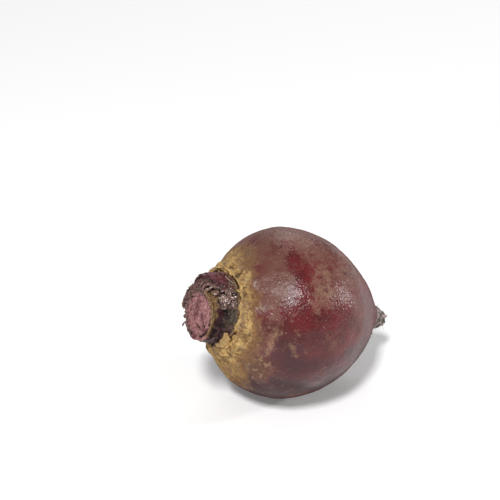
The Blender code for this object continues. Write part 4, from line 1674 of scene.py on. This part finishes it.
def add_stump_fibres(bm, draw):
    """Loose fibres on the cut end, and two pale strands: one round the foot, one on the edge of a stalk."""
    for i in range(STUMP_FIBRES):
        azimuth = 35 + 3.6 * i + draw.uniform(-2, 2)
        rise = draw.uniform(8.5, 10.8)
        start = on_stump(azimuth, draw.uniform(11.5, 14.0), rise - 0.8)
        ahead = around_axis(azimuth, draw.uniform(-0.2, 0.9), draw.uniform(0.3, 0.9))
        ahead += around_axis(azimuth + 90, draw.uniform(-0.8, 0.8), 0)
        thread(bm, start, ahead, draw.uniform(1.6, 3.4), draw.uniform(0.07, 0.14), 0.6, draw)
    foot, edge = [], []
    for share in np.linspace(0.0, 1.0, 12).tolist():
        foot.append(on_stump(-4 - 33 * share, 16.3, 3.6 - 2.0 * share + 0.4 * math.sin(6 * share)))
        edge.append(on_stump(40 - 38 * share, 16.4 + 0.3 * math.sin(9 * share), 9.3 - 1.0 * share))
    add_strand(bm, foot, [0.34, *[0.5] * 8, 0.4, 0.3, 0.2], 0.34, around_axis(0, 1.0, 0.0), THREAD_SIDES)
    add_strand(bm, edge, [0.3, *[0.7, 0.5] * 5, 0.2], 0.4, around_axis(20, 1.0, 0.0), THREAD_SIDES)


def thread_mesh():
    """Root hairs on the tap root, and loose fibres on the stump."""
    bm = bmesh.new()
    draw = random.Random(23)
    add_root_hairs(bm, draw)
    add_stump_fibres(bm, draw)
    threads = object_from("root_hairs", bm)
    mesh = threads.data
    set_place(mesh, [tuple(v.co) for v in mesh.vertices])
    mesh.transform(laid_down())
    return threads


def paint_threads(threads):
    """Dry brown fibres, paler in places."""
    p = Paint("root_hairs")
    place = p.place()
    mottle = p.noise(place, 2.2, 3.0, 0.6)
    colour = p.mix(p.window(mottle, 0.42, 0.62), *FIBRE)
    rough = p.window(mottle, 0.3, 0.7, 0.5, 0.8)
    p.finish(threads, colour, rough, p.bump(p.noise(place, 0.4), 0.05, 0.8), DRY_SPECULAR)


class BEETROOT_OT_skin(bpy.types.Operator):
    """Makes the root: its lopsided form, skin, corky shoulder and broken tap root"""

    bl_idname = "beetroot.skin"
    bl_label = "Root"

    def execute(self, context):
        read_sizes()
        skin = skin_mesh()
        paint_skin(skin)
        shown(skin, "root_skin", "root")
        return {"FINISHED"}


class BEETROOT_OT_stalks(bpy.types.Operator):
    """Makes the stump of cut leaf stalks on the crown"""

    bl_idname = "beetroot.stalks"
    bl_label = "Cut leaf stalks"

    def execute(self, context):
        read_sizes()
        mesh = stump_mesh()
        shape_stump(mesh)
        stump = bpy.data.objects.new("cut_stalks", mesh)
        bpy.context.scene.collection.objects.link(stump)
        paint_stump(stump)
        shown(stump, "cut_stalks", "leaf_stalks")
        return {"FINISHED"}


class BEETROOT_OT_flakes(bpy.types.Operator):
    """Makes the dry flakes round the stump, which are what is left of old leaf bases"""

    bl_idname = "beetroot.flakes"
    bl_label = "Collar flakes"

    def execute(self, context):
        read_sizes()
        flakes = flake_mesh()
        paint_flakes(flakes)
        shown(flakes, "root_skin")
        return {"FINISHED"}


class BEETROOT_OT_threads(bpy.types.Operator):
    """Makes the root hairs and the loose fibres of the cut stalks"""

    bl_idname = "beetroot.threads"
    bl_label = "Root hairs and fibres"

    def execute(self, context):
        read_sizes()
        threads = thread_mesh()
        paint_threads(threads)
        shown(threads, "root_skin")
        return {"FINISHED"}


def direction(azimuth_deg, elevation_deg):
    """The direction from the beetroot at this azimuth and elevation. Azimuth 0 is -Y, and 90 is +X."""
    a, e = math.radians(azimuth_deg), math.radians(elevation_deg)
    return Vector((math.sin(a) * math.cos(e), -math.cos(a) * math.cos(e), math.sin(e)))


def soft_light(name, azimuth, elevation, distance, width, height, power):
    """A rectangular soft light that shines at the beetroot from this direction."""
    lamp = bpy.data.lights.new(name, "AREA")
    lamp.shape = "RECTANGLE"
    lamp.size = width
    lamp.size_y = height
    lamp.energy = power
    light = bpy.data.objects.new(name, lamp)
    middle = GIRTH_CENTRE * MM
    light.location = middle + distance * direction(azimuth, elevation)
    light.rotation_euler = (light.location - middle).to_track_quat("Z", "Y").to_euler()
    bpy.context.scene.collection.objects.link(light)


def picture_camera():
    """The camera, placed so that the girth's middle falls where it does in the picture."""
    a = math.radians(CAMERA_AZIMUTH)
    back = direction(CAMERA_AZIMUTH, CAMERA_ELEVATION)
    right = Vector((math.cos(a), math.sin(a), 0.0))
    up = back.cross(right)
    metres_per_pixel = CAMERA_DISTANCE * SENSOR / LENS / PICTURE_PIXELS
    half = PICTURE_PIXELS / 2
    beside = (GIRTH_IN_PICTURE[0] - half) * metres_per_pixel
    below = (GIRTH_IN_PICTURE[1] - half) * metres_per_pixel
    lens = bpy.data.cameras.new("camera")
    lens.lens = LENS
    lens.sensor_width = SENSOR
    camera = bpy.data.objects.new("camera", lens)
    camera.location = GIRTH_CENTRE * MM + CAMERA_DISTANCE * back - beside * right + below * up
    camera.rotation_euler = Matrix((right, up, back)).transposed().to_euler()
    bpy.context.scene.collection.objects.link(camera)
    bpy.context.scene.camera = camera


class BEETROOT_OT_stage(bpy.types.Operator):
    """Makes the pale floor, the soft lights and the camera"""

    bl_idname = "beetroot.stage"
    bl_label = "Stage"

    def execute(self, context):
        bm = bmesh.new()
        bmesh.ops.create_grid(bm, x_segments=1, y_segments=1, size=FLOOR_HALF_SIDE)
        floor = object_from("floor", bm)
        p = Paint("pale_floor")
        p.put(p.shader.inputs["Base Color"], colours().floor)
        p.put(p.shader.inputs["Emission Color"], WHITE)
        p.put(p.shader.inputs["Emission Strength"], FLOOR_GLOW)
        p.put(p.shader.inputs["Roughness"], FLOOR_ROUGHNESS)
        p.put(p.shader.inputs["Specular IOR Level"], FLOOR_SPECULAR)
        floor.data.materials.append(p.material)

        world = bpy.data.worlds.new("white_studio")
        world.use_nodes = True
        background = world.node_tree.nodes["Background"]
        background.inputs["Color"].default_value = (*WHITE, 1.0)
        background.inputs["Strength"].default_value = WORLD_STRENGTH
        context.scene.world = world
        for light in LIGHTS:
            soft_light(*light)
        picture_camera()
        context.scene.view_settings.view_transform = "Standard"
        context.scene.view_settings.look = "None"
        return {"FINISHED"}


class BEETROOT_PT_panel(bpy.types.Panel):
    """Lists the beetroot's pieces"""

    bl_label = "Beetroot"
    bl_idname = "BEETROOT_PT_panel"
    bl_space_type = "VIEW_3D"
    bl_region_type = "UI"
    bl_category = "Beetroot"

    def draw(self, context):
        for operator in OPERATORS:
            self.layout.operator(operator.bl_idname)
        for group in (context.scene.beetroot_sizes, context.scene.beetroot_colours):
            for name in group.__annotations__:
                self.layout.prop(group, name)


OPERATORS = (BEETROOT_OT_skin, BEETROOT_OT_stalks, BEETROOT_OT_flakes, BEETROOT_OT_threads, BEETROOT_OT_stage)
CLASSES = (BeetrootSizes, BeetrootColours, *OPERATORS, BEETROOT_PT_panel)


def register():
    """Adds the classes, and the beetroot's sizes and colours to each scene."""
    for cls in CLASSES:
        bpy.utils.register_class(cls)
    bpy.types.Scene.beetroot_sizes = bpy.props.PointerProperty(type=BeetrootSizes)
    bpy.types.Scene.beetroot_colours = bpy.props.PointerProperty(type=BeetrootColours)


def unregister():
    """Takes back what register has added."""
    del bpy.types.Scene.beetroot_colours
    del bpy.types.Scene.beetroot_sizes
    for cls in reversed(CLASSES):
        bpy.utils.unregister_class(cls)


def main():
    """Makes all pieces and the stage."""
    register()
    bpy.ops.beetroot.skin()
    bpy.ops.beetroot.stalks()
    bpy.ops.beetroot.flakes()
    bpy.ops.beetroot.threads()
    bpy.ops.beetroot.stage()


if __name__ == "__main__":
    main()
